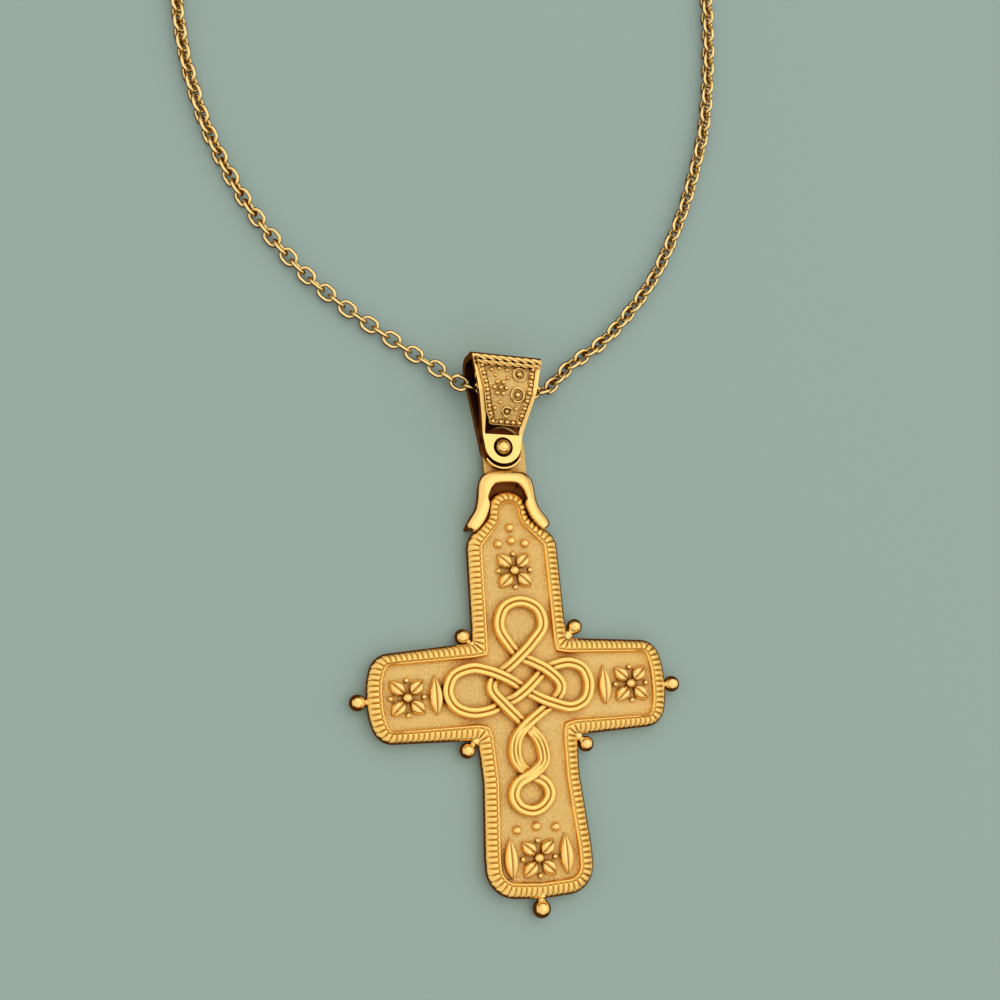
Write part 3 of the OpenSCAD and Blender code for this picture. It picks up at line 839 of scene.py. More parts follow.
@dataclass
class Knot:
    """The raised knot: two closed strands that pass over and under each other.

    Attributes:
        steps: steps from one row of a strand to the next.
        rise: how far a strand rises where it passes over.
        dip: how far it sinks where it passes under.
    """

    steps: int = 9
    rise: float = 0.14
    dip: float = 0.34

    MIDDLE = (0.2, 0.1 - CROSSING_Y)
    # x, y, level (1 over, -1 under, 0 between), and share of the broad strap
    UPRIGHT = (
        (0.40, 8.70, 0, 0), (2.10, 7.90, 0, 0), (2.50, 6.15, 0, 0), (1.30, 4.60, 0, 0),
        (-0.10, 3.35, 1, 0), (-1.25, 2.40, 0, 0), (-2.45, 1.55, -1, 0), (-3.25, 0.75, 0, 0),
        (-3.20, -0.10, 0, 0), (-2.30, -1.25, 1, 0), (-1.10, -2.50, 0, 0), (0.05, -3.55, -1, 0.1),
        (1.05, -4.80, 0, 0.8), (1.47, -6.10, 0, 1), (1.36, -7.20, 0, 0.8), (0.10, -8.20, 1, 0.4),
        (-1.36, -8.95, 0, 0.1), (-1.92, -10.10, 0, 0), (-1.42, -11.20, 0, 0), (-0.15, -11.70, 0, 0),
        (1.05, -11.30, 0, 0), (1.80, -10.25, 0, 0), (1.40, -9.10, 0, 0), (0.10, -8.20, -1, 0.2),
        (-1.10, -7.25, 0, 0.6), (-1.45, -6.00, 0, 1), (-1.10, -4.60, 0, 0.7), (-0.10, -3.45, 1, 0.1),
        (1.50, -2.35, 0, 0), (2.90, -1.50, -1, 0), (3.80, -0.45, 0, 0), (3.80, 0.55, 0, 0),
        (2.50, 1.80, 1, 0), (1.20, 2.60, 0, 0), (-0.10, 3.35, -1, 0), (-1.30, 4.65, 0, 0),
        (-2.05, 6.30, 0, 0), (-1.40, 8.10, 0, 0),
    )
    ACROSS = (
        (-7.80, 0.20, 0, 0), (-7.10, 1.75, 0, 0), (-5.25, 2.35, 0, 0), (-3.80, 2.10, 0, 0),
        (-2.45, 1.55, 1, 0), (-1.10, 0.85, 0, 0), (0.20, 0.00, -1, 0), (1.55, -0.90, 0, 0),
        (2.90, -1.50, 1, 0), (4.80, -2.00, 0, 0), (6.35, -1.35, 0, 0), (6.90, 0.20, 0, 0),
        (6.40, 1.72, 0, 0), (5.10, 2.35, 0, 0), (3.70, 2.25, 0, 0), (2.50, 1.80, -1, 0),
        (1.35, 0.95, 0, 0), (0.20, 0.00, 1, 0), (-1.00, -0.80, 0, 0), (-2.30, -1.25, -1, 0),
        (-3.60, -1.80, 0, 0), (-5.50, -1.95, 0, 0), (-7.15, -1.25, 0, 0),
    )
    # Right half of the strap's section from its middle out, as distance and height: with two ridges
    # and one groove where it is narrow, and three ridges where it is broad
    NARROW = (
        (0.000, 0.53), (0.030, 0.55), (0.070, 0.63), (0.120, 0.67), (0.200, 0.69), (0.300, 0.69),
        (0.400, 0.68), (0.480, 0.64), (0.530, 0.56), (0.560, 0.42), (0.580, 0.20), (0.600, -0.25),
    )
    BROAD = (
        (0.000, 0.69), (0.080, 0.68), (0.145, 0.62), (0.185, 0.52), (0.220, 0.52), (0.260, 0.62),
        (0.340, 0.67), (0.480, 0.67), (0.570, 0.59), (0.630, 0.42), (0.665, 0.18), (0.690, -0.25),
    )

    def strand(self, rows: Sequence[tuple[float, float, float, float]]) -> np.ndarray:
        """Sweeps the strap's section along one strand.

        Args:
            rows: the strand's table.

        Returns:
            The rings of the strap.
        """
        path = smooth_loop(np.array(rows, float), self.steps)
        lift = np.where(path[:, 2] > 0, self.rise, self.dip) * path[:, 2]
        narrow, broad = np.array(self.NARROW), np.array(self.BROAD)
        rings = []
        for (x, y, _, breadth), way, up in zip(path, headings(path[:, :2], closed=True), lift):
            half = narrow + (broad - narrow) * min(1.0, max(0.0, breadth))
            section = np.vstack([half[:0:-1] * [-1, 1], half])
            section[:, 1] = FIELD_Z + section[:, 1] + up
            rings.append(stood_across(self.MIDDLE[0] + x, self.MIDDLE[1] + y, way, section))
        return np.array(rings)

    def make(self, finish: Material) -> Object:
        """Makes both strands as one piece.

        Args:
            finish: the straps' material.

        Returns:
            The piece.
        """
        shell = Shell()
        shell.sweep(self.strand(self.UPRIGHT), closed=True)
        shell.sweep(self.strand(self.ACROSS), closed=True)
        return shell.to_piece("knot_strands", [finish], Body.PENDANT, Slot.CAST, crease_deg=60.0)


@dataclass
class FieldOrnaments:
    """Rosettes, leaves and pellets that fill the four ends of the field.

    Attributes:
        rosette_r: radius of a four-petalled rosette.
        heart_r: radius of the pellet in its middle.
        petal_in: where its petals start.
        bud_r: radius of the pellets between its petals.
        bud_out: how far out they are.
        leaf_half_w: half of a leaf's width.
        leaf_h: height of a leaf over the field.
        leaf_l: length of an upright leaf.
        pellet_r: radius of a pellet.
    """

    rosette_r: float = 2.35
    heart_r: float = 0.52
    petal_in: float = 0.46
    bud_r: float = 0.27
    bud_out: float = 1.66
    leaf_half_w: float = 0.76
    leaf_h: float = 0.66
    leaf_l: float = 3.9
    pellet_r: float = 0.45

    ROSETTES = ((-11.6, 0.0), (11.7, 0.05), (0.3, 11.9), (0.4, -16.1))
    UPRIGHT_LEAVES = ((-8.75, 0.1), (8.85, 0.1), (-2.45, -15.9), (3.25, -15.9))
    PELLETS = (
        (-1.15, 14.6), (0.25, 14.9), (1.65, 14.6), (0.2, 16.2), (-1.6, -13.3), (0.4, -13.1), (2.4, -13.3),
    )
    LEAF_ROWS = 18
    # Share of a leaf's half width, and share of its height there: a vein, two swells and a steep side
    LEAF_SECTION = (
        (0.00, 0.74), (0.07, 0.79), (0.16, 0.94), (0.34, 1.00), (0.56, 0.95), (0.76, 0.80), (0.91, 0.46),
        (1.00, -0.15),
    )

    def leaf(self, shell: Shell, place: Matrix, reach: float) -> None:
        """Adds one pointed leaf that starts at the place and runs along its X.

        Args:
            shell: what takes it.
            place: where it lies.
            reach: its length.
        """
        half = list(self.LEAF_SECTION)
        section = [(-x, z) for x, z in reversed(half[1:])] + half
        rings = []
        for t in np.linspace(0.0, 1.0, self.LEAF_ROWS):
            swell = math.sin(math.pi * t ** 0.85)
            width = self.leaf_half_w * max(0.04, swell) ** 0.85
            height = self.leaf_h * max(0.05, swell) ** 0.5
            rings.append([(reach * t, width * x, height * z if z > 0 else z) for x, z in section])
        shell.sweep(placed(np.array(rings), place))

    def pellet(self, shell: Shell, place: Matrix, radius: float) -> None:
        """Adds a round pellet with a narrow foot.

        Args:
            shell: what takes it.
            place: where it stands.
            radius: its radius.
        """
        height, foot = radius * 0.92, 0.1
        arc = dome_arc(radius, height, foot, step_deg=12.0)
        profile = [(radius * 1.12, -foot), (radius * 1.06, 0.02), *arc, (radius * 0.02, height + foot)]
        shell.lathe(profile, place, 24)

    def make(self, finish: Material) -> Object:
        """Makes all the ornaments as one piece.

        Args:
            finish: their material.

        Returns:
            The piece.
        """
        shell = Shell()

        def at(x: float, y: float, turn_deg: float = 0.0, out: float = 0.0) -> Matrix:
            """Gives a place on the field, turned, and further out that way, measured from the crossing."""
            spot = Matrix.Translation((x, y - CROSSING_Y, FIELD_Z))
            return spot @ Matrix.Rotation(math.radians(turn_deg), 4, "Z") @ Matrix.Translation((out, 0, 0))

        for x, y in self.ROSETTES:
            self.pellet(shell, at(x, y), self.heart_r)
            for turn in (45, 135, 225, 315):
                self.leaf(shell, at(x, y, turn, self.petal_in), self.rosette_r - self.petal_in)
                self.pellet(shell, at(x, y, turn + 45, self.bud_out), self.bud_r)
        for x, y in self.UPRIGHT_LEAVES:
            self.leaf(shell, at(x, y, 90, -self.leaf_l / 2), self.leaf_l)
        for x, y in self.PELLETS:
            self.pellet(shell, at(x, y), self.pellet_r)
        return shell.to_piece("field_ornaments", [finish], Body.PENDANT, Slot.CAST, crease_deg=50.0)


class Ball(NamedTuple):
    """A ball on the cross's edge: place from the crossing, radius, and the way back to the plate."""

    x: float
    y: float
    radius: float
    back_deg: float


@dataclass
class EdgeBalls:
    """The seven balls, each on a short stem with a collar.

    Attributes:
        height: how high the balls' middles are.
    """

    height: float = 1.0

    BALLS = (
        Ball(16.35, -0.25, 0.80, 180), Ball(-16.45, -0.15, 0.80, 0), Ball(0.38, -20.90, 0.88, 90),
        Ball(6.32, 6.05, 0.76, 225), Ball(-5.55, 5.60, 0.76, 315),
        Ball(6.45, -5.60, 0.76, 135), Ball(-5.90, -5.40, 0.76, 45),
    )
    # The stem and its collar, in shares of the ball's radius: radius, and distance from the ball's middle
    STEM = ((0.52, 0.88), (0.50, 1.00), (0.58, 1.18), (0.74, 1.30), (0.74, 2.1))

    def make(self, finish: Material) -> Object:
        """Makes the balls as one piece.

        Args:
            finish: their material.

        Returns:
            The piece.
        """
        shell = Shell()
        for x, y, r, back_deg in self.BALLS:
            back = Vector((math.cos(math.radians(back_deg)), math.sin(math.radians(back_deg)), 0))
            turn = back.to_track_quat("Z", "Y").to_matrix().to_4x4()
            ball = [(r * math.sin(a), -r * math.cos(a)) for a in np.radians(np.arange(4, 146, 8.5))]
            stem = [(r * out, r * far) for out, far in self.STEM]
            shell.lathe(ball + stem, Matrix.Translation((x, y - CROSSING_Y, self.height)) @ turn, steps=36)
        return shell.to_piece("edge_balls", [finish], Body.PENDANT, Slot.CAST)


# The cap and the lug


@dataclass
class Cap:
    """The smooth collar round the top of the cross, with the lug that goes between the bail's tongues.

    Attributes:
        lug_low: where the lug starts over the surface.
        lug_high: where it ends.
        lug_r: its radius.
        lug_x: how far the lug is off the pin.
        lug_end: how far down its straight sides run, in under the collar.
        lug_soft: how far its edges are rounded.
        bore_r: radius of its hole.
        shade_ring_r: outer radius of the thin ring of painted shade laid on the lug, under the bail's tongue.
        rim_r: inner radius of the raised rim.
        rim_w: width of the rim.
        rim_top: height of the rim.
        rim_half_deg: how far the rim reaches to each side of straight down.
        wall_top: height of the collar's inner wall.
        web_high: height of the sunk web at the collar.
        web_low: its height at the plate's neck.
        web_under: height of its underside.
        web_reach: how far the web reaches in under the border.
        web_end: how far down the web runs.
        plate_gap: clearance between the collar's inner wall and the plate.
        lip: how far the legs' inner lip reaches over the plate's edge.
        lip_start: how far down from the pin the lip starts to stand out.
        lip_full: where it stands out all the way.
    """

    lug_low: float = 0.7
    lug_high: float = 1.3
    lug_r: float = 2.27
    lug_x: float = 0.27
    lug_end: float = 3.0
    lug_soft: float = 0.1
    bore_r: float = 0.66
    shade_ring_r: float = 2.12
    rim_r: float = 1.98
    rim_w: float = 0.25
    rim_top: float = 1.9
    rim_half_deg: float = 58.0
    wall_top: float = 1.5
    web_high: float = 1.35
    web_low: float = 0.95
    web_under: float = 0.3
    web_reach: float = 0.3
    web_end: float = -5.85
    plate_gap: float = 0.08
    lip: float = 0.4
    lip_start: float = 4.9
    lip_full: float = 5.7

    # Right half of the collar's middle line, from the top down: x, y, half width, share of full height
    RUN = (
        (0.00, -3.03, 0.60, 1.00), (0.70, -3.04, 0.61, 1.00), (1.25, -3.10, 0.65, 1.00),
        (1.63, -3.22, 0.70, 1.00), (1.90, -3.42, 0.73, 1.00), (2.10, -3.68, 0.71, 1.00),
        (2.27, -4.05, 0.64, 1.00), (2.42, -4.52, 0.56, 0.99), (2.55, -5.05, 0.49, 0.97),
        (2.69, -5.60, 0.45, 0.95), (2.88, -6.18, 0.45, 0.93), (3.17, -6.74, 0.47, 0.92),
        (3.55, -7.26, 0.47, 0.91), (3.92, -7.70, 0.42, 0.89), (4.12, -7.92, 0.34, 0.86),
        (4.24, -8.06, 0.22, 0.78),
    )
    # Its section from the inner side over the crest and down the broad slope to the outer lip and in
    # under it: share of the half width, and height
    SECTION = (
        (-1.00, 1.80), (-0.99, 2.04), (-0.95, 2.18), (-0.87, 2.27), (-0.72, 2.31), (-0.52, 2.31),
        (-0.30, 2.29), (-0.06, 2.25), (0.18, 2.20), (0.42, 2.14), (0.66, 2.07), (0.87, 1.99),
        (1.00, 1.89), (1.07, 1.76), (1.05, 1.58), (0.82, 1.05), (0.46, 0.52), (0.12, 0.00),
    )

    def collar(self, shell: Shell) -> None:
        """Adds the collar from one leg over the top to the other, and the sunk web inside it, which takes the
        painted shade finish.

        Args:
            shell: what takes them.
        """
        half = np.array(self.RUN)
        path = smooth_line(np.vstack([half[:0:-1] * [-1, 1, 1, 1], half]), 7)
        outline, _ = cross_outline()
        rings = []
        web = []
        for (x, y, width, height), way in zip(path, headings(path[:, :2], closed=False)):
            reach = float(np.min(np.linalg.norm(outline - [x, y], axis=1)))
            inner = min(width, reach - self.plate_gap)
            lip = self.lip * ease(self.lip_start, self.lip_full, -y)
            wall = [(-inner + 0.06, 0.0), (-inner, 0.12), (-inner, self.wall_top * height)]
            over = [(width * s + lip * min(0.0, s), height * z) for s, z in self.SECTION]
            rings.append(stood_across(x, y, way, wall + over))
            if y > self.web_end:
                edge = reach + self.web_reach
                web.append(stood_across(x, y, way, [
                    (0.0, self.web_under), (-edge, self.web_under), (-edge, self.web_low),
                    (-inner, self.web_high), (0.0, self.web_high),
                ]))
        shell.sweep(np.array(rings))
        # The web takes the second finish: painted shade under the collar.
        shell.sweep(np.array(web), finish=1)

    def lug(self, shell: Shell) -> None:
        """Adds the lug with its hole and straight sides that run in under the collar, a thin ring of painted
        shade on its top under the bail's tongue, and its rim.

        Args:
            shell: what takes them.
        """
        low, high, soft = self.lug_low, self.lug_high, self.lug_soft
        bore = [(self.bore_r, high - soft), (self.bore_r, low + soft), (self.bore_r + soft, low)]
        side = [(0.95, low), (1.0, low + soft), (1.0, high - soft), (0.985, high - 0.03), (0.95, high)]
        rings = []
        for a in round_steps(96):
            hole = np.array([math.cos(a), math.sin(a)])
            edge = hole * self.lug_r
            if edge[1] < 0:
                edge = np.clip(1.35 * hole, -1, 1) * [self.lug_r, self.lug_end]
            ring = [(*hole * r, z) for r, z in bore]
            ring += [(self.lug_x + edge[0] * part, edge[1] * part, z) for part, z in side]
            rings.append([*ring, (*hole * (self.bore_r + soft), high)])
        shell.sweep(np.array(rings), closed=True, finish=2)
        # Painted shade: a thin ring of the dark second finish on the lug's top, under the bail's tongue.
        near, far, under, over = self.bore_r + soft, self.shade_ring_r, high - soft, high + 0.02
        shade_ring = [(near, under), (near, over), (far, over), (far, under)]
        shell.lathe(shade_ring, Matrix.Identity(4), steps=72, finish=1)
        inner, outer, top = self.rim_r, self.rim_r + self.rim_w, self.rim_top
        rim = [
            (inner, low + 0.2), (inner, top - 0.12), (inner + 0.04, top - 0.03), (inner + 0.10, top),
            (outer - 0.12, top), (outer - 0.04, top - 0.04), (outer, top - 0.14), (outer, low + 0.2),
        ]
        sector = np.radians(np.linspace(-90 - self.rim_half_deg, -90 + self.rim_half_deg, 40))
        shell.sweep(np.array([[(r * math.cos(a), r * math.sin(a), z) for r, z in rim] for a in sector]))

    def make(self, finishes: Sequence[Material]) -> Object:
        """Makes the cap.

        Args:
            finishes: the collar's material, the painted shade on the web and on the ring under the bail's
                tongue, and the lug's.

        Returns:
            The piece.
        """
        shell = Shell()
        self.collar(shell)
        self.lug(shell)
        return shell.to_piece("cap_collar", finishes, Body.PENDANT, Slot.POLISHED, crease_deg=38.0)


# The bail and its rivet


@dataclass
class Bail:
    """The bent strip with its raised panel, ropes and granules.

    Attributes:
        top: from the pin up to the top.
        depth: from the back to the front at the top.
        strip: thickness of the strip.
        half_low: half of the width at the pin.
        half_top: half of the width at the top of the back.
        bulge: how much further the front stands out to each side.
        bulge_low: from the pin up to where the front starts to stand out.
        bulge_high: up to where it stands out all the way.
        turn_deg: how far it is turned on the pin as it lies.
        slant: how far everything above the tongues drops towards the right, per millimetre across.
        slant_low: from the pin up to where that drop starts.
        slant_run: over how far it grows.
        tongue_end: from the pin down to the tongues' ends.
        gap_high: height of the space between the tongues at the pin.
        slant_y: where the front leaves the tongue and starts to slant.
        shoulder_y: where it bends over towards the top.
        shoulder_drop: how much lower than the top it is there.
        recess_r: radius of the recess round the rivet's head.
        recess_deep: its depth in the front tongue.
        panel_low: where the panel starts, along the slanting front.
        panel_high: where it ends.
        panel_rise: its height over the strip.
        panel_sink: how far its channel and its middle lie under its rim.
        granule_r: radius of a granule.
        granule_pitch: distance from one granule to the next.
        granule_up: distance of the lowest granules from the panel's foot.
        granule_in: distance of the granules from the panel's sides.
        rope_turn: length of one turn of a rope.
        rope_wire_r: radius of its two wires.
        rope_coil_r: how far the wires run from the rope's middle.
    """

    top: float = 8.93
    depth: float = 4.65
    strip: float = 0.6
    half_low: float = 1.92
    half_top: float = 3.45
    bulge: float = 0.24
    bulge_low: float = 1.0
    bulge_high: float = 5.5
    turn_deg: float = -1.5
    slant: float = 0.065
    slant_low: float = 0.4
    slant_run: float = 1.4
    tongue_end: float = 1.67
    gap_high: float = 1.4
    slant_y: float = 1.3
    shoulder_y: float = 5.2
    shoulder_drop: float = 0.3
    recess_r: float = 1.02
    recess_deep: float = 0.35
    panel_low: float = 0.98
    panel_high: float = 7.78
    panel_rise: float = 0.35
    panel_sink: float = 0.2
    granule_r: float = 0.27
    granule_pitch: float = 0.78
    granule_up: float = 0.36
    granule_in: float = 0.38
    rope_turn: float = 1.72
    rope_wire_r: float = 0.135
    rope_coil_r: float = 0.105

    # The slot on the front: distance up from where the front starts to slant, left edge and right edge.
    # A narrow part of it runs on up the panel's left side.
    SLOT_ROWS = (
        (-0.04, -1.88, 1.74), (0.3, -1.90, 1.74), (0.65, -1.92, 1.75), (1.0, -1.94, 1.76),
        (1.01, -1.94, -1.56), (1.5, -1.97, -1.66), (2.0, -2.02, -1.85), (2.5, -2.09, -2.03),
    )
    # The panel's sides bend once, at a distance up the front: its edges at the foot, there and at the top
    LEFT_BEND = 2.4
    LEFT_EDGE = (-1.50, -2.13, -3.36)
    RIGHT_BEND = 4.2
    RIGHT_EDGE = (1.78, 2.55, 3.15)
    GRANULE_ROWS = 8
    FOOT_GRANULES = (-0.44, 0.20, 0.84)
    # Ringed bosses in the panel's middle: place, radius of the boss, and radius of its ring
    BOSSES = ((1.15, 6.2, 0.30, 0.62), (0.98, 4.2, 0.32, 0.66), (0.05, 2.45, 0.24, 0.48))
    # Half width and half height of a ring's wire, and how far its middle lies under the panel's rim
    RING_WIRE = (0.11, 0.14)
    RING_DROP = 0.12
    # Middle of the six-petalled flower, and how far out its petals are
    FLOWER = (-0.85, 4.75)
    PETAL_OUT = 0.62
    # Places of the small granules between them
    GRAINS = (
        (-1.75, 6.45), (-0.95, 6.65), (-0.15, 6.55), (-0.05, 5.75), (-1.35, 5.95), (-0.75, 3.35),
        (-1.25, 2.7), (0.95, 2.8),
    )
    # How far the two ropes lie under the panel's top
    ROPE_DROPS = (0.68, 0.23)

    @property
    def front(self) -> float:
        """Gives the height of the front tongue's face."""
        return self.gap_high + self.strip

    @property
    def bed(self) -> float:
        """Gives the height of the panel's channel and middle over the strip."""
        return self.panel_rise - self.panel_sink

    @property
    def centre_y(self) -> float:
        """Gives the middle of the tongues' round ends."""
        return self.half_low - self.tongue_end

    def on_pin(self) -> Matrix:
        """Gives the bail's place, turned on the pin."""
        return Matrix.Rotation(math.radians(self.turn_deg), 4, "Z")

    def outer_corners(self) -> list[Corner]:
        """Lists the corners of the strip's outer face.

        Returns:
            The corners in y and z, from the back tongue's end round to the front tongue's.
        """
        end, shoulder = -self.tongue_end, self.depth - self.shoulder_drop
        return [
            Corner(end, 0.0, 0), Corner(self.top, 0.0, 2.1), Corner(self.top, self.depth, 0.5),
            Corner(self.shoulder_y, shoulder, 3.5), Corner(self.slant_y, self.front, 1.6),
            Corner(end, self.front, 0),
        ]

    def inner_corners(self) -> list[Corner]:
        """Lists the corners of the strip's inner face.

        Returns:
            As many corners as the outer face has, in the same order.
        """
        end, strip, top = -self.tongue_end, self.strip, self.top - self.strip
        shoulder = self.depth - self.shoulder_drop - strip
        return [
            Corner(end, strip, 0), Corner(top, strip, 1.5), Corner(top, self.depth - strip, 0.2),
            Corner(self.shoulder_y + 0.1, shoulder, 3.0), Corner(self.slant_y + 0.2, self.gap_high, 1.6),
            Corner(end, self.gap_high, 0),
        ]

    def half_width(self, y: float, z: float) -> float:
        """Finds half of the strip's width.

        Args:
            y: the distance up from the pin.
            z: the height, as the front bulges out further than the back.

        Returns:
            Half of the width there, which falls to nothing at the tongues' round ends.
        """
        up = y - self.centre_y
        if up < 0:
            return math.sqrt(max(0.0, self.half_low**2 - up**2))
        straight = self.half_low + (self.half_top - self.half_low) * up / (self.top - self.centre_y)
        return straight + self.bulge * ease(self.bulge_low, self.bulge_high, y) * z / self.depth

    def bend(self, corners: Sequence[Corner]) -> np.ndarray:
        """Follows one face of the strip from the back tongue's end round to the front tongue's.

        Args:
            corners: the two ends, with a radius of 0, and the bends between them, in y and z.

        Returns:
            Points in y and z. Two faces with as many corners have points that match.
        """
        turns = np.radians((86, 76, 66, 56, 46, 36, 24, 12, 0))
        tips = [self.centre_y - self.half_low * math.sin(a) for a in turns]
        points: list[tuple[float, float]] = [(y, corners[0].y) for y in tips]
        for before, corner, after in zip(corners, corners[1:], corners[2:]):
            arc = corner_arc(before, corner, after)
            last = np.array(points[-1])
            points.extend(tuple(last + (arc.centre + arc.start - last) * t) for t in (0.2, 0.4, 0.6, 0.8))
            points.extend(tuple(arc.centre + corner.radius * arc.spoke(t)) for t in np.linspace(0, 1, 9))
        points.extend((y, corners[-1].y) for y in reversed(tips))
        return np.array(points)

    def slanted(self, points: np.ndarray) -> np.ndarray:
        """Gives points of the bail their drop towards the right, which fades out at the tongues.

        Args:
            points: an array whose last axis is x, y and z.

        Returns:
            The points with the drop.
        """
        moved = points.copy()
        share = np.clip((points[..., 1] - self.slant_low) / self.slant_run, 0, 1)
        moved[..., 1] -= self.slant * points[..., 0] * share
        return moved

    def strip_shell(self) -> Shell:
        """Builds the strip with square edges.

        Returns:
            Its shell, not turned on the pin.
        """
        rings = []
        for outer, inner in zip(self.bend(self.outer_corners()), self.bend(self.inner_corners())):
            w_out, w_in = self.half_width(*outer), self.half_width(*inner)
            rings.append([(-w_out, *outer), (w_out, *outer), (w_in, *inner), (-w_in, *inner)])
        shell = Shell()
        shell.sweep(self.slanted(np.array(rings)))
        return shell

    def wrapped(self, flat: Shell) -> Shell:
        """Lays a flat shell on the curved front.

        Args:
            flat: a shell whose Y is the distance up the front from where it starts to slant, and whose Z
                is the height over it.

        Returns:
            The shell in its place on the bail.
        """
        face = self.bend(self.outer_corners())
        top = int(np.argmax(face[:, 1] + face[:, 0]))
        face = face[:top:-1]
        along = lengths(face)
        along -= np.interp(self.slant_y, face[:, 0], along)
        way = unit(np.gradient(face, along, axis=0))
        blocks = []
        for block in flat.points:
            y, z, way_y, way_z = (np.interp(block[:, 1], along, column) for column in (*face.T, *way.T))
            place = np.column_stack([block[:, 0], y - way_z * block[:, 2], z + way_y * block[:, 2]])
            blocks.append(self.slanted(place))
        return Shell(blocks, flat.faces, flat.finishes).moved(self.on_pin())

    def panel_left(self, y: float) -> float:
        """Gives the panel's left edge at a distance up the front."""
        return float(np.interp(y, (self.panel_low, self.LEFT_BEND, self.panel_high), self.LEFT_EDGE))

    def panel_right(self, y: float) -> float:
        """Gives the panel's right edge at a distance up the front."""
        return float(np.interp(y, (self.panel_low, self.RIGHT_BEND, self.panel_high), self.RIGHT_EDGE))

    def panel(self, shell: Shell) -> None:
        """Adds the panel: a fine rim, a channel for the granules, and a sunk middle.

        Args:
            shell: what takes it.
        """
        low, high, bed = self.panel_low, self.panel_high, self.bed
        right = [(high, 0.15), (self.RIGHT_BEND, 3.0), (low, 0.2)]
        left = [(low, 0.2), (self.LEFT_BEND, 1.5), (high, 0.15)]
        corners = [Corner(self.panel_right(y), y, radius) for y, radius in right]
        corners += [Corner(self.panel_left(y), y, radius) for y, radius in left]
        points, inwards = filled(*rounded(corners, step_deg=15.0), step=0.4)
        top = self.panel_rise
        edge = [
            (0.0, -0.25), (0.0, top - 0.06), (0.03, top - 0.01), (0.09, top), (0.13, top - 0.04), (0.16, bed),
            (0.60, bed), (0.62, top - 0.08), (0.67, top - 0.03), (0.72, top - 0.08), (0.75, bed),
            (0.85, bed), (0.85, -0.25),
        ]
        rings = [np.column_stack([points + inwards * inset, np.full(len(points), z)]) for inset, z in edge]
        shell.sweep(np.array(rings), closed=True)
        inset = 0.8
        rings = []
        for y in np.linspace(low + inset, high - inset, 16):
            left_x, right_x = self.panel_left(y) + inset, self.panel_right(y) - inset
            rings.append([(left_x, y, bed), (right_x, y, bed), (right_x, y, -0.25), (left_x, y, -0.25)])
        shell.sweep(np.array(rings), finish=1)

    def pearl(self, shell: Shell, x: float, y: float, radius: float, squash: float) -> None:
        """Adds a granule that stands in the panel.

        Args:
            shell: what takes it.
            x: its place across the front.
            y: its place up the front.
            radius: its radius.
            squash: its height as a share of a whole half ball's.
        """
        arc = dome_arc(radius, radius * squash, 0.0, step_deg=14.5)
        profile = [(radius, -0.15), *arc, (radius * 0.02, radius * squash)]
        shell.lathe(profile, Matrix.Translation((x, y, self.bed)), steps=18)

    def granules(self, shell: Shell) -> None:
        """Adds the rows of granules along the panel's sides and foot.

        Args:
            shell: what takes them.
        """
        low, squash = self.panel_low + self.granule_up, 1.25
        for k in range(self.GRANULE_ROWS):
            y = low + k * self.granule_pitch
            self.pearl(shell, self.panel_left(y) + self.granule_in, y, self.granule_r, squash)
            self.pearl(shell, self.panel_right(y) - self.granule_in, y, self.granule_r, squash)
        for x in self.FOOT_GRANULES:
            self.pearl(shell, x, low, self.granule_r, squash)

    def ring(self, shell: Shell, x: float, y: float, radius: float) -> None:
        """Adds a round wire ring that lies on the panel's sunk middle.

        Args:
            shell: what takes it.
            x: its place across the front.
            y: its place up the front.
            radius: its radius at the wire's middle.
        """
        wire = round_steps(8)
        tube = [(self.RING_WIRE[0] * math.cos(a), self.RING_WIRE[1] * math.sin(a)) for a in wire]
        z = self.panel_rise - self.RING_DROP
        shell.sweep(np.array([
            [(x + (radius + r) * math.cos(a), y + (radius + r) * math.sin(a), up + z) for r, up in tube]
            for a in round_steps(36)
        ]), closed=True)

    def middle_bosses(self, shell: Shell) -> None:
        """Adds three ringed bosses, a six-petalled flower and small granules in the panel's middle.

        Args:
            shell: what takes them.
        """
        for x, y, boss_r, ring_r in self.BOSSES:
            self.pearl(shell, x, y, boss_r, 1.1)
            self.ring(shell, x, y, ring_r)
        x, y = self.FLOWER
        for a in np.radians(range(0, 360, 60)):
            self.pearl(shell, self.PETAL_OUT * math.cos(a) + x, self.PETAL_OUT * math.sin(a) + y, 0.25, 1.2)
        self.pearl(shell, x, y, 0.26, 1.5)
        for x, y in self.GRAINS:
            self.pearl(shell, x, y, 0.22, 1.2)

    def ropes(self, shell: Shell) -> None:
        """Adds two rows of twisted wire under the top edge.

        Args:
            shell: what takes them.
        """
        for drop in self.ROPE_DROPS:
            y = self.panel_high - drop
            left, right = self.panel_left(y) - 0.08, self.panel_right(y) + 0.32
            for phase in (0.0, math.pi):
                x = np.linspace(left, right, int((right - left) / 0.09))
                angle = 2 * math.pi * x / self.rope_turn + phase
                up = self.panel_rise + 0.1 + self.rope_coil_r * np.sin(angle)
                path = np.column_stack([x, y + self.rope_coil_r * np.cos(angle), up])
                shell.sweep(round_wire(path, self.rope_wire_r, 8))

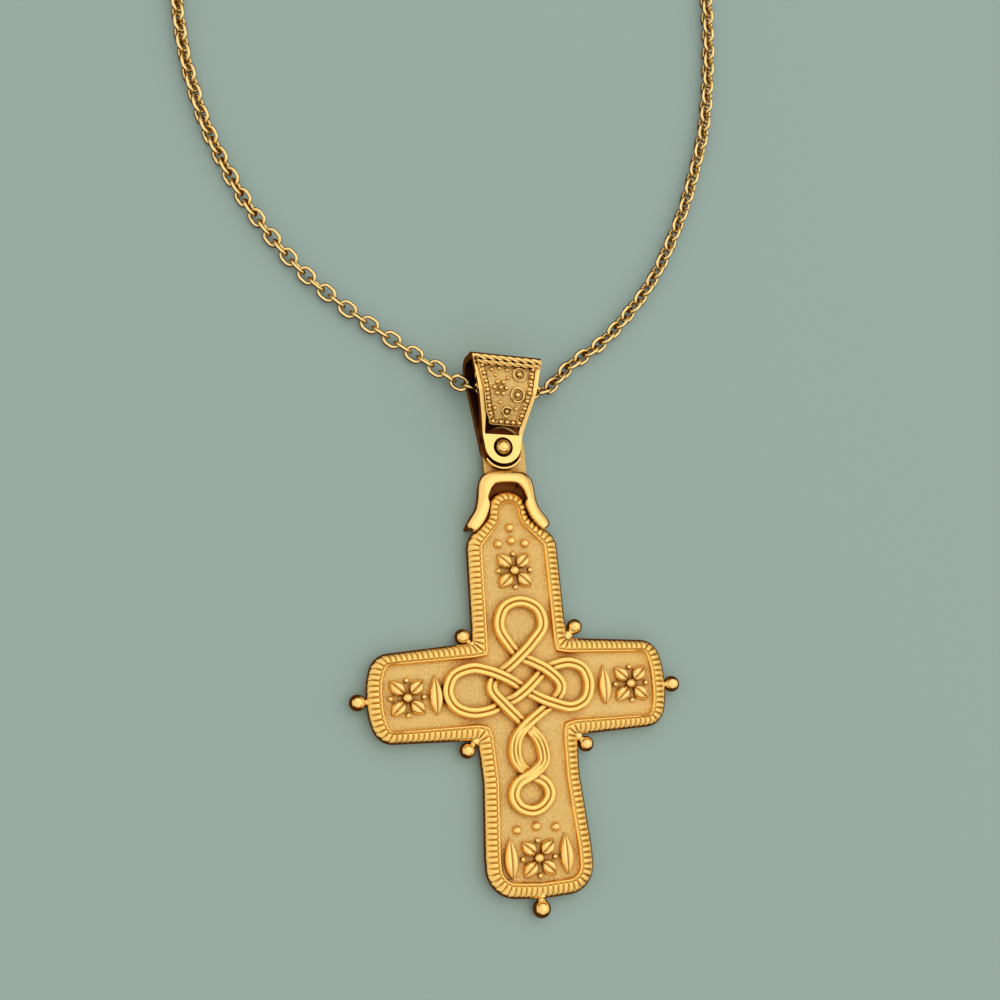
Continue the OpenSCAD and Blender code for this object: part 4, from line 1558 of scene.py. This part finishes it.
    def cut_strip(self) -> Mesh:
        """Builds the strip with its slot, the rivet's recess and soft edges.

        Returns:
            Its mesh, not turned on the pin.
        """
        past = 0.15
        low, high = -self.strip - past, past
        slot, recess = Shell(), Shell()
        slot.sweep(np.array([
            [(a, y, low), (b, y, low), (b, y, high), (a, y, high)] for y, a, b in self.SLOT_ROWS
        ]))
        depths = (self.front - self.recess_deep, self.front + 0.3)
        recess.lathe([(self.recess_r, z) for z in depths], Matrix.Identity(4), steps=48)
        unturned = self.wrapped(slot).moved(self.on_pin().inverted())
        mesh = self.strip_shell().to_mesh("bail_strip")
        mesh = cut(mesh, [unturned.to_mesh("slot"), recess.to_mesh("recess")])
        soften(mesh, width=0.15, sharper_than_deg=48.0)
        return mesh

    def mark_inner(self, mesh: Mesh) -> None:
        """Gives the strip's inner face the second finish, painted shade: what lies close to it and doesn't
        look sideways.

        Args:
            mesh: the strip's mesh, not turned on the pin.
        """
        face = self.bend(self.inner_corners())
        steps = face[1:] - face[:-1]
        for polygon in mesh.polygons:
            spot = np.array(polygon.center[1:]) / MM
            shares = np.clip(((spot - face[:-1]) * steps).sum(1) / (steps**2).sum(1), 0, 1)
            near = np.linalg.norm(face[:-1] + steps * shares[:, None] - spot, axis=1).min()
            # Faces on the inner face take the painted shade finish.
            polygon.material_index = int(near < 0.25 and abs(polygon.normal.x) < 0.5)

    def make(self, finish: Material, inner: Material, bed: Material) -> Object:
        """Makes the strip and its ornament.

        Args:
            finish: the material of all that is polished.
            inner: the painted shade of the strip's inner face.
            bed: the material of the panel's sunk middle.

        Returns:
            The strip.
        """
        mesh = self.cut_strip()
        self.mark_inner(mesh)
        mesh.transform(self.on_pin())
        strip = dress(mesh, "bail_strip", [finish, inner], Body.NECKLACE, crease_deg=32.0)
        shell = Shell()
        for add_part in (self.panel, self.granules, self.middle_bosses, self.ropes):
            add_part(shell)
        self.wrapped(shell).to_piece("bail_panel", [finish, bed], Body.NECKLACE, Slot.POLISHED)
        return strip


@dataclass
class Rivet:
    """The pin's domed head in its recess in the front tongue.

    Attributes:
        foot: where the pin starts over the surface.
        face: height of the tongue's face.
        pin_r: the pin's radius.
        head_r: the head's radius.
        head_h: height of the head over the face.
        sunk: how far the dome starts under the face.
        edge: how much the head is chamfered under the dome.
    """

    foot: float = 0.25
    face: float = 2.0
    pin_r: float = 0.6
    head_r: float = 0.78
    head_h: float = 0.60
    sunk: float = 0.12
    edge: float = 0.05

    def make(self, finish: Material) -> Object:
        """Makes the rivet.

        Args:
            finish: its material.

        Returns:
            The piece.
        """
        rise = self.head_h + self.sunk
        start = self.face - self.sunk
        under = start - self.edge
        profile = [
            (0.02, self.foot), (self.pin_r, self.foot), (self.pin_r, under), (self.head_r - 0.04, under),
            *dome_arc(self.head_r, rise, start, step_deg=7.0), (0.02, start + rise),
        ]
        shell = Shell()
        shell.lathe(profile, Matrix.Identity(4), steps=48)
        return shell.to_piece("rivet_dome", [finish], Body.NECKLACE, Slot.POLISHED, crease_deg=50.0)


# The chain


class ChainRoute:
    """The closed line that the chain follows through the bail and round the back.

    Distances along it are from the middle of the bail, positive to the right and negative to the left.
    """

    POINTS = (
        (0, 6.2), (5, 6.0), (8.5, 8.8), (12.5, 11.5), (16.2, 15.1), (19.2, 18.8), (21.6, 22.8),
        (23.7, 27), (25.5, 31.5), (27, 36), (28.1, 41.5), (28.8, 47), (29.2, 54), (29.4, 64), (29.5, 80),
        (29.5, 103), (29.5, 126), (29.5, 149), (29.5, 171), (27.3, 182), (20.8, 192), (11.3, 198.3),
        (0, 200.5), (-11.3, 198.3), (-20.8, 192), (-27.3, 182), (-29.5, 171), (-29.8, 149), (-30, 126),
        (-30.1, 103), (-30.2, 80), (-30.3, 64), (-30.3, 54), (-30.1, 46), (-29.7, 41), (-29, 37.3),
        (-28, 33.5), (-26.4, 29.4), (-24.4, 25.4), (-21.9, 21.6), (-18.8, 17.9), (-15, 14.6),
        (-10.8, 11.6), (-7, 9.0), (-3.8, 6.7),
    )
    STEPS = 8
    CLASP_ROW = 22
    # How far to each side the line is looked at to find which way it runs
    LOOK = 0.4

    def __init__(self) -> None:
        """Measures the line."""
        self.path = smooth_loop(np.array(self.POINTS, float), self.STEPS)
        self.path = np.vstack([self.path, self.path[:1]])
        self.along = lengths(self.path)
        self.length = float(self.along[-1])
        self.clasp_at = float(self.along[self.CLASP_ROW * self.STEPS])

    def at(self, s: float) -> np.ndarray:
        """Gives the point x, y at a distance along the line."""
        return np.array([np.interp(s % self.length, self.along, column) for column in self.path.T])

    def heading(self, s: float) -> float:
        """Gives the way the line runs at a distance along it, as an angle from +X."""
        step = self.at(s + self.LOOK) - self.at(s - self.LOOK)
        return math.atan2(step[1], step[0])


class Drift(NamedTuple):
    """A value that changes with the distance from the bail.

    It has its value near the bail, how much that grows, and the distances where it starts and stops growing.
    """

    near: float
    grows: float
    start: float
    stop: float


@dataclass
class CableChain:
    """A fine cable chain of oval links, each a quarter turn from its neighbours.

    Attributes:
        route: the line it follows.
        link_l: outer length of a link.
        link_w: outer width of a link.
        wire_d: thickness of the wire.
        rest: the least clearance over the surface.
        bail_strip: thickness of the bail's back, which the chain passes over.
        bail_clear: clearance over the bail's back.
        settle_deg: the most that a link turns out of line as it settles.
        front_right: how far the stretch in front runs to the right of the bail.
        front_left: how far it runs to the left.
    """

    route: ChainRoute
    link_l: float = 2.10
    link_w: float = 1.66
    wire_d: float = 0.38
    rest: float = 0.02
    bail_strip: float = 0.6
    bail_clear: float = 0.04
    settle_deg: float = 3.5
    front_right: float = 62.0
    front_left: float = 57.0

    # Turn of the links about the chain in degrees, as it wanders away from the bail
    TWIST_LEFT = Drift(25.0, 30.0, 15.0, 50.0)
    TWIST_RIGHT = Drift(25.0, 4.0, 0.0, 6.0)
    # Distance to the next link: taut near the bail, slacker further out
    PITCH_LEFT = Drift(1.33, -0.27, 15.0, 48.0)
    PITCH_RIGHT = Drift(1.25, -0.19, 25.0, 50.0)
    # Share of the height over the bail's back, which the chain loses as it comes down on the surface
    LIFT = Drift(1.0, -1.0, 4.2, 9.5)

    def twist(self, s: float) -> float:
        """Gives the turn of the links about the chain at a distance along it, in degrees."""
        drift = self.TWIST_LEFT if s < 0 else self.TWIST_RIGHT
        return drift.near + drift.grows * ease(drift.start, drift.stop, abs(s))

    def height(self, s: float) -> float:
        """Gives the height of the chain's middle, which passes over the bail's back inside it.

        Args:
            s: the distance along the chain from the bail.

        Returns:
            The height over the surface.
        """
        turn = math.radians(self.twist(s))
        lie = self.wire_d / 2 + (self.link_w - self.wire_d) / 2 * max(math.cos(turn), math.sin(turn))
        lift = self.LIFT.near + self.LIFT.grows * ease(self.LIFT.start, self.LIFT.stop, abs(s))
        return lie + self.rest + (self.bail_strip + self.bail_clear) * lift

    def pitch(self, s: float) -> float:
        """Gives the distance to the next link."""
        drift = self.PITCH_LEFT if s < 0 else self.PITCH_RIGHT
        return drift.near + drift.grows * part_way(drift.start, drift.stop, abs(s))

    def link(self, bend_steps: int, sides: int) -> np.ndarray:
        """Shapes one link that lies level along X.

        Args:
            bend_steps: steps in each of its two bends.
            sides: sides of the wire.

        Returns:
            The rings of its wire.
        """
        bend = (self.link_w - self.wire_d) / 2
        straight = (self.link_l - self.link_w) / 2
        angles = np.radians(np.linspace(-90, 90, bend_steps + 1))
        right = [(straight + bend * math.cos(a), bend * math.sin(a), a) for a in angles]
        left = [(-straight - bend * math.cos(a), -bend * math.sin(a), a + math.pi) for a in angles]
        r = self.wire_d / 2
        wire = [(r * math.cos(w), r * math.sin(w)) for w in round_steps(sides)]
        return np.array([
            [(x + out * math.cos(a), y + out * math.sin(a), up) for out, up in wire]
            for x, y, a in right + left
        ])

    def place(self, s: float, odd: bool, jitter_deg: float) -> Matrix:
        """Finds where a link lies.

        Args:
            s: its distance along the chain from the middle of the bail.
            odd: whether it is a quarter turn from level.
            jitter_deg: a small extra turn, as links settle.

        Returns:
            Its place.
        """
        x, y = self.route.at(s)
        near = self.signed(s)
        rise = math.atan2(self.height(near + 0.5) - self.height(near - 0.5), 1)
        turn = math.radians(self.twist(near) + (90 if odd else 0) + jitter_deg)
        return (
            Matrix.Translation((x, y, self.height(near)))
            @ Matrix.Rotation(self.route.heading(s), 4, "Z")
            @ Matrix.Rotation(-rise, 4, "Y")
            @ Matrix.Rotation(turn, 4, "X")
        )

    def signed(self, s: float) -> float:
        """Gives the same distance measured the short way from the bail."""
        return s if s < self.route.clasp_at else s - self.route.length

    def run(self, start: float, end: float, sign: int) -> list[float]:
        """Spaces links away from the bail.

        Args:
            start: the first link's distance.
            end: how far from the bail the links stop.
            sign: 1 to the right, -1 to the left.

        Returns:
            The links' distances.
        """
        places = []
        s = start
        while abs(s) < end:
            places.append(s)
            s += sign * self.pitch(s)
        return places

    def make(
        self, name: str, places: Sequence[tuple[float, bool]], finish: Material, detail: tuple[int, int]
    ) -> Object:
        """Makes a stretch of chain.

        Args:
            name: the piece's name.
            places: for each link, its distance and whether it is a quarter turn from level.
            finish: the wire's material.
            detail: steps in a link's bend, and sides of its wire.

        Returns:
            The piece.
        """
        link = self.link(*detail)
        random = np.random.default_rng(SEED)
        shell = Shell()
        for s, odd in places:
            jitter_deg = float(random.uniform(-self.settle_deg, self.settle_deg))
            shell.sweep(placed(link, self.place(s, odd, jitter_deg)), closed=True)
        return shell.to_piece(name, [finish], Body.NECKLACE, Slot.CHAIN)


@dataclass
class Clasp:
    """The plain barrel at the far middle of the chain.

    Attributes:
        route: the line that the chain follows.
        length: length of the barrel.
        radius: its radius.
        link_in: how far the last link on each side runs into it.
    """

    route: ChainRoute
    length: float = 8.0
    radius: float = 1.2
    link_in: float = 0.45

    def make(self, finish: Material) -> Object:
        """Makes the barrel, with a groove near each end and a seam at its middle.

        Args:
            finish: its material.

        Returns:
            The piece.
        """
        half, r = self.length / 2, self.radius
        right = [
            (r - 0.07, 0.0), (r, 0.06), (r, half - 1.5), (r - 0.1, half - 1.42), (r - 0.1, half - 1.3),
            (r, half - 1.22), (r, half - 0.95), (r * 0.93, half - 0.6), (r * 0.72, half - 0.27),
            (r * 0.45, half - 0.09), (r * 0.02, half),
        ]
        left = [(radius, -x) for radius, x in reversed(right[1:])]
        x, y = self.route.at(self.route.clasp_at)
        place = Matrix.Translation((x, y, r)) @ Matrix.Rotation(math.pi / 2, 4, "Y")
        shell = Shell()
        shell.lathe(left + right, place, steps=40)
        return shell.to_piece("clasp_barrel", [finish], Body.NECKLACE, Slot.CHAIN)


# The stage


@dataclass(frozen=True)
class PhotoCamera:
    """The camera where the photograph's was.

    Attributes:
        left_deg: how far left of straight above it stands.
        low_deg: how far towards the cross's foot it stands.
        turn_deg: how far the photograph is turned.
        distance: its distance from the pin, in millimetres.
        focal_px: its focal length in pixels of the photograph.
        pin_px: where the pin is in the photograph.
        pin_z: height of the point that the distance is taken from.
    """

    left_deg: float = 19.0
    low_deg: float = 12.0
    turn_deg: float = 4.9
    distance: float = 160.0
    focal_px: float = 1600.0
    pin_px: tuple[float, float] = (504.3, 446.4)
    pin_z: float = 2.3

    SENSOR_MM = 36.0

    def make(self) -> None:
        """Makes the camera and gives it to the scene."""
        lean_x, lean_y = (-math.tan(math.radians(angle)) for angle in (self.left_deg, self.low_deg))
        back = Vector((lean_x, lean_y, 1)).normalized()
        right = Vector((0, 1, 0)).cross(back).normalized()
        up = back.cross(right)
        centre = IMAGE_PX / 2
        shift_x = (self.pin_px[0] - centre) / self.focal_px
        shift_y = (centre - self.pin_px[1]) / self.focal_px
        place = Vector((0, 0, self.pin_z)) - self.distance * (-back + shift_x * right + shift_y * up)
        pose = Matrix((right, up, back)).transposed().to_4x4()
        pose.translation = place * MM
        data = bpy.data.cameras.new("photo_camera")
        data.sensor_width = self.SENSOR_MM
        data.lens = self.focal_px / IMAGE_PX * self.SENSOR_MM
        data.clip_start = 0.005
        data.clip_end = 10.0
        camera = bpy.data.objects.new("photo_camera", data)
        camera.matrix_world = Matrix.Rotation(-math.radians(self.turn_deg), 4, "Z") @ pose
        bpy.context.scene.collection.objects.link(camera)
        bpy.context.scene.camera = camera


@dataclass(frozen=True)
class SoftBox:
    """A soft studio light that looks at the pendant.

    Attributes:
        name: its name.
        way: the direction it stands in, seen from the pendant.
        away: its distance, in millimetres.
        width: its width.
        height: its height.
        watts: its power.
    """

    name: str
    way: tuple[float, float, float]
    away: float
    width: float
    height: float
    watts: float

    AIM = (0.0, -15.0, 0.0)

    def make(self) -> None:
        """Makes the light."""
        data = bpy.data.lights.new(self.name, "AREA")
        data.shape = "RECTANGLE"
        data.size = self.width * MM
        data.size_y = self.height * MM
        data.energy = self.watts
        light = bpy.data.objects.new(self.name, data)
        way = Vector(self.way).normalized()
        light.location = (Vector(self.AIM) + way * self.away) * MM
        light.rotation_euler = way.to_track_quat("Z", "Y").to_euler()
        bpy.context.scene.collection.objects.link(light)


@dataclass
class Studio:
    """A pale floor, a soft box overhead, and a surround that is bright above and at the sides.

    Attributes:
        floor_colour: colour of the floor.
        floor_roughness: how matt the floor is.
        floor_size: length of its sides.
        surround_colour: colour of the surround where it is bright.
        low_colour: its colour low down, as of a room lit from above.
        backdrop_colour: plain colour behind the floor where the camera sees past it.
    """

    floor_colour: str = "#99aea2"
    floor_roughness: float = 0.85
    floor_size: float = 3000.0
    surround_colour: str = "#fbfbff"
    low_colour: str = "#4a3015"
    backdrop_colour: str = "#c3cdc8"

    LIGHTS = (SoftBox("key_box", (0.32, 0.20, 0.93), 620.0, 760.0, 660.0, 0.5),)
    # For a share of a direction, its low and high limits and how bright the surround is at each
    OVERHEAD = (0.28, 0.52, 0.0, 1.0)
    SIDES = (0.66, 0.92, 0.0, 0.90)
    HORIZON = (-0.02, 0.08, 0.0, 1.0)

    def floor_finish(self) -> Material:
        """Makes the floor's plain matt material.

        Returns:
            The material.
        """
        material = bpy.data.materials.new("matt_painted_board")
        material.use_nodes = True
        shader = material.node_tree.nodes["Principled BSDF"]
        shader.inputs["Base Color"].default_value = linear(self.floor_colour)
        shader.inputs["Roughness"].default_value = self.floor_roughness
        return material

    def surround(self) -> None:
        """Makes the surround: bright overhead and at the sides, warm and dark low down.

        Where the camera itself looks past the floor, it sees one plain pale colour.
        """
        world = bpy.data.worlds.new("studio")
        world.use_nodes = True
        tree = world.node_tree
        way = add_node(tree, "ShaderNodeTexCoord").outputs["Generated"]
        parts = add_node(tree, "ShaderNodeSeparateXYZ", inputs={"Vector": way}).outputs
        sideways = add_node(tree, "ShaderNodeMath", {"operation": "ABSOLUTE"}, {0: parts["X"]}).outputs[0]
        upward = parts["Z"]
        names = ("From Min", "From Max", "To Min", "To Max")
        shares = []
        for value, limits in ((upward, self.OVERHEAD), (sideways, self.SIDES), (upward, self.HORIZON)):
            share = add_node(
                tree, "ShaderNodeMapRange", {"interpolation_type": "SMOOTHSTEP"},
                {"Value": value, **dict(zip(names, limits))},
            )
            shares.append(share.outputs["Result"])
        overhead, sides, horizon = shares
        beside = add_node(tree, "ShaderNodeMath", {"operation": "MULTIPLY"}, {0: sides, 1: horizon})
        bright = add_node(
            tree, "ShaderNodeMath", {"operation": "MAXIMUM"}, {0: overhead, 1: beside.outputs[0]}
        ).outputs[0]
        seen = add_node(tree, "ShaderNodeLightPath").outputs["Is Camera Ray"]
        colour = linear(self.low_colour)
        for share, other in ((bright, self.surround_colour), (seen, self.backdrop_colour)):
            mix = add_node(tree, "ShaderNodeMix", {"data_type": "RGBA"}, {
                "Factor": share, "A": colour, "B": linear(other),
            })
            colour = mix.outputs["Result"]
        tree.links.new(colour, tree.nodes["Background"].inputs["Color"])
        bpy.context.scene.world = world

    def make(self) -> None:
        """Makes the floor, the lights and the surround."""
        half = self.floor_size / 2
        mesh = bpy.data.meshes.new("floor")
        corners = [(-half, -half), (half, -half), (half, half), (-half, half)]
        mesh.from_pydata([(x * MM, y * MM, 0.0) for x, y in corners], [], [(0, 1, 2, 3)])
        mesh.materials.append(self.floor_finish())
        floor = bpy.data.objects.new("floor", mesh)
        bpy.context.scene.collection.objects.link(floor)
        # Polished metal shows the dark surround low down, not the floor, so that its edges stand out dark
        floor.visible_glossy = False
        self.surround()
        bpy.context.scene.view_settings.view_transform = "Standard"
        for light in self.LIGHTS:
            light.make()


def alternated(places: Sequence[float], before: int) -> list[tuple[float, bool]]:
    """Marks every other link as a quarter turn from level.

    Args:
        places: the links' distances.
        before: how many links there are before the first.

    Returns:
        For each link, its distance and whether it is a quarter turn from level.
    """
    return [(s, k % 2 == 0) for k, s in enumerate(places, before)]


def make_chain(finish: Material) -> None:
    """Makes the whole chain and its clasp.

    Args:
        finish: the wire's material.
    """
    route = ChainRoute()
    chain = CableChain(route)
    clasp = Clasp(route)
    right = chain.run(0.0, chain.front_right, 1)
    left = chain.run(-chain.PITCH_LEFT.near, chain.front_left, -1)
    front = alternated(right, 0) + alternated(left, 1)
    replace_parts(chain.make("cable_chain_front", front, finish, (10, 10)), "chain_front")
    stop = clasp.length / 2 + chain.link_l / 2 - clasp.link_in
    pitch = chain.pitch(chain.front_right)
    far_right = spaced(right[-1], route.clasp_at - stop, pitch)
    far_left = spaced(left[-1], route.clasp_at - route.length + stop, pitch)
    back = alternated(far_right, len(right)) + alternated(far_left, len(left) + 1)
    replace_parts(chain.make("cable_chain_back", back, finish, (8, 8)), "chain_back")
    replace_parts(clasp.make(finish), "clasp")
    LOG.info("chain: %.0f mm round, %d links", route.length, len(front) + len(back))


def spaced(last: float, end: float, pitch: float) -> list[float]:
    """Spreads links evenly over what is left of the chain.

    Args:
        last: distance of the link before the first new one.
        end: distance of the last new link.
        pitch: the spacing to come close to.

    Returns:
        The new links' distances.
    """
    count = round(abs(end - last) / pitch)
    return [last + (end - last) * k / count for k in range(1, count + 1)]


def main() -> None:
    """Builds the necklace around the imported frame."""
    logging.basicConfig(level=logging.INFO, format="%(message)s")
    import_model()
    PhotoCamera().make()
    Studio().make()
    finishes = (SATIN_GOLD, BUFFED_GOLD, POLISHED_GOLD, SHADE_PAINTED_GOLD, WIRE_GOLD)
    satin, buffed, polished, shade_painted, wire = (finish.build() for finish in finishes)
    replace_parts(CrossPlate().make(satin, buffed), "cross")
    Knot().make(buffed)
    FieldOrnaments().make(polished)
    EdgeBalls().make(polished)
    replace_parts(Cap().make([polished, shade_painted, satin]), "cap")
    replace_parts(Bail().make(polished, shade_painted, satin), "bail")
    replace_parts(Rivet().make(polished), "rivet")
    make_chain(wire)


if __name__ == "__main__":
    main()
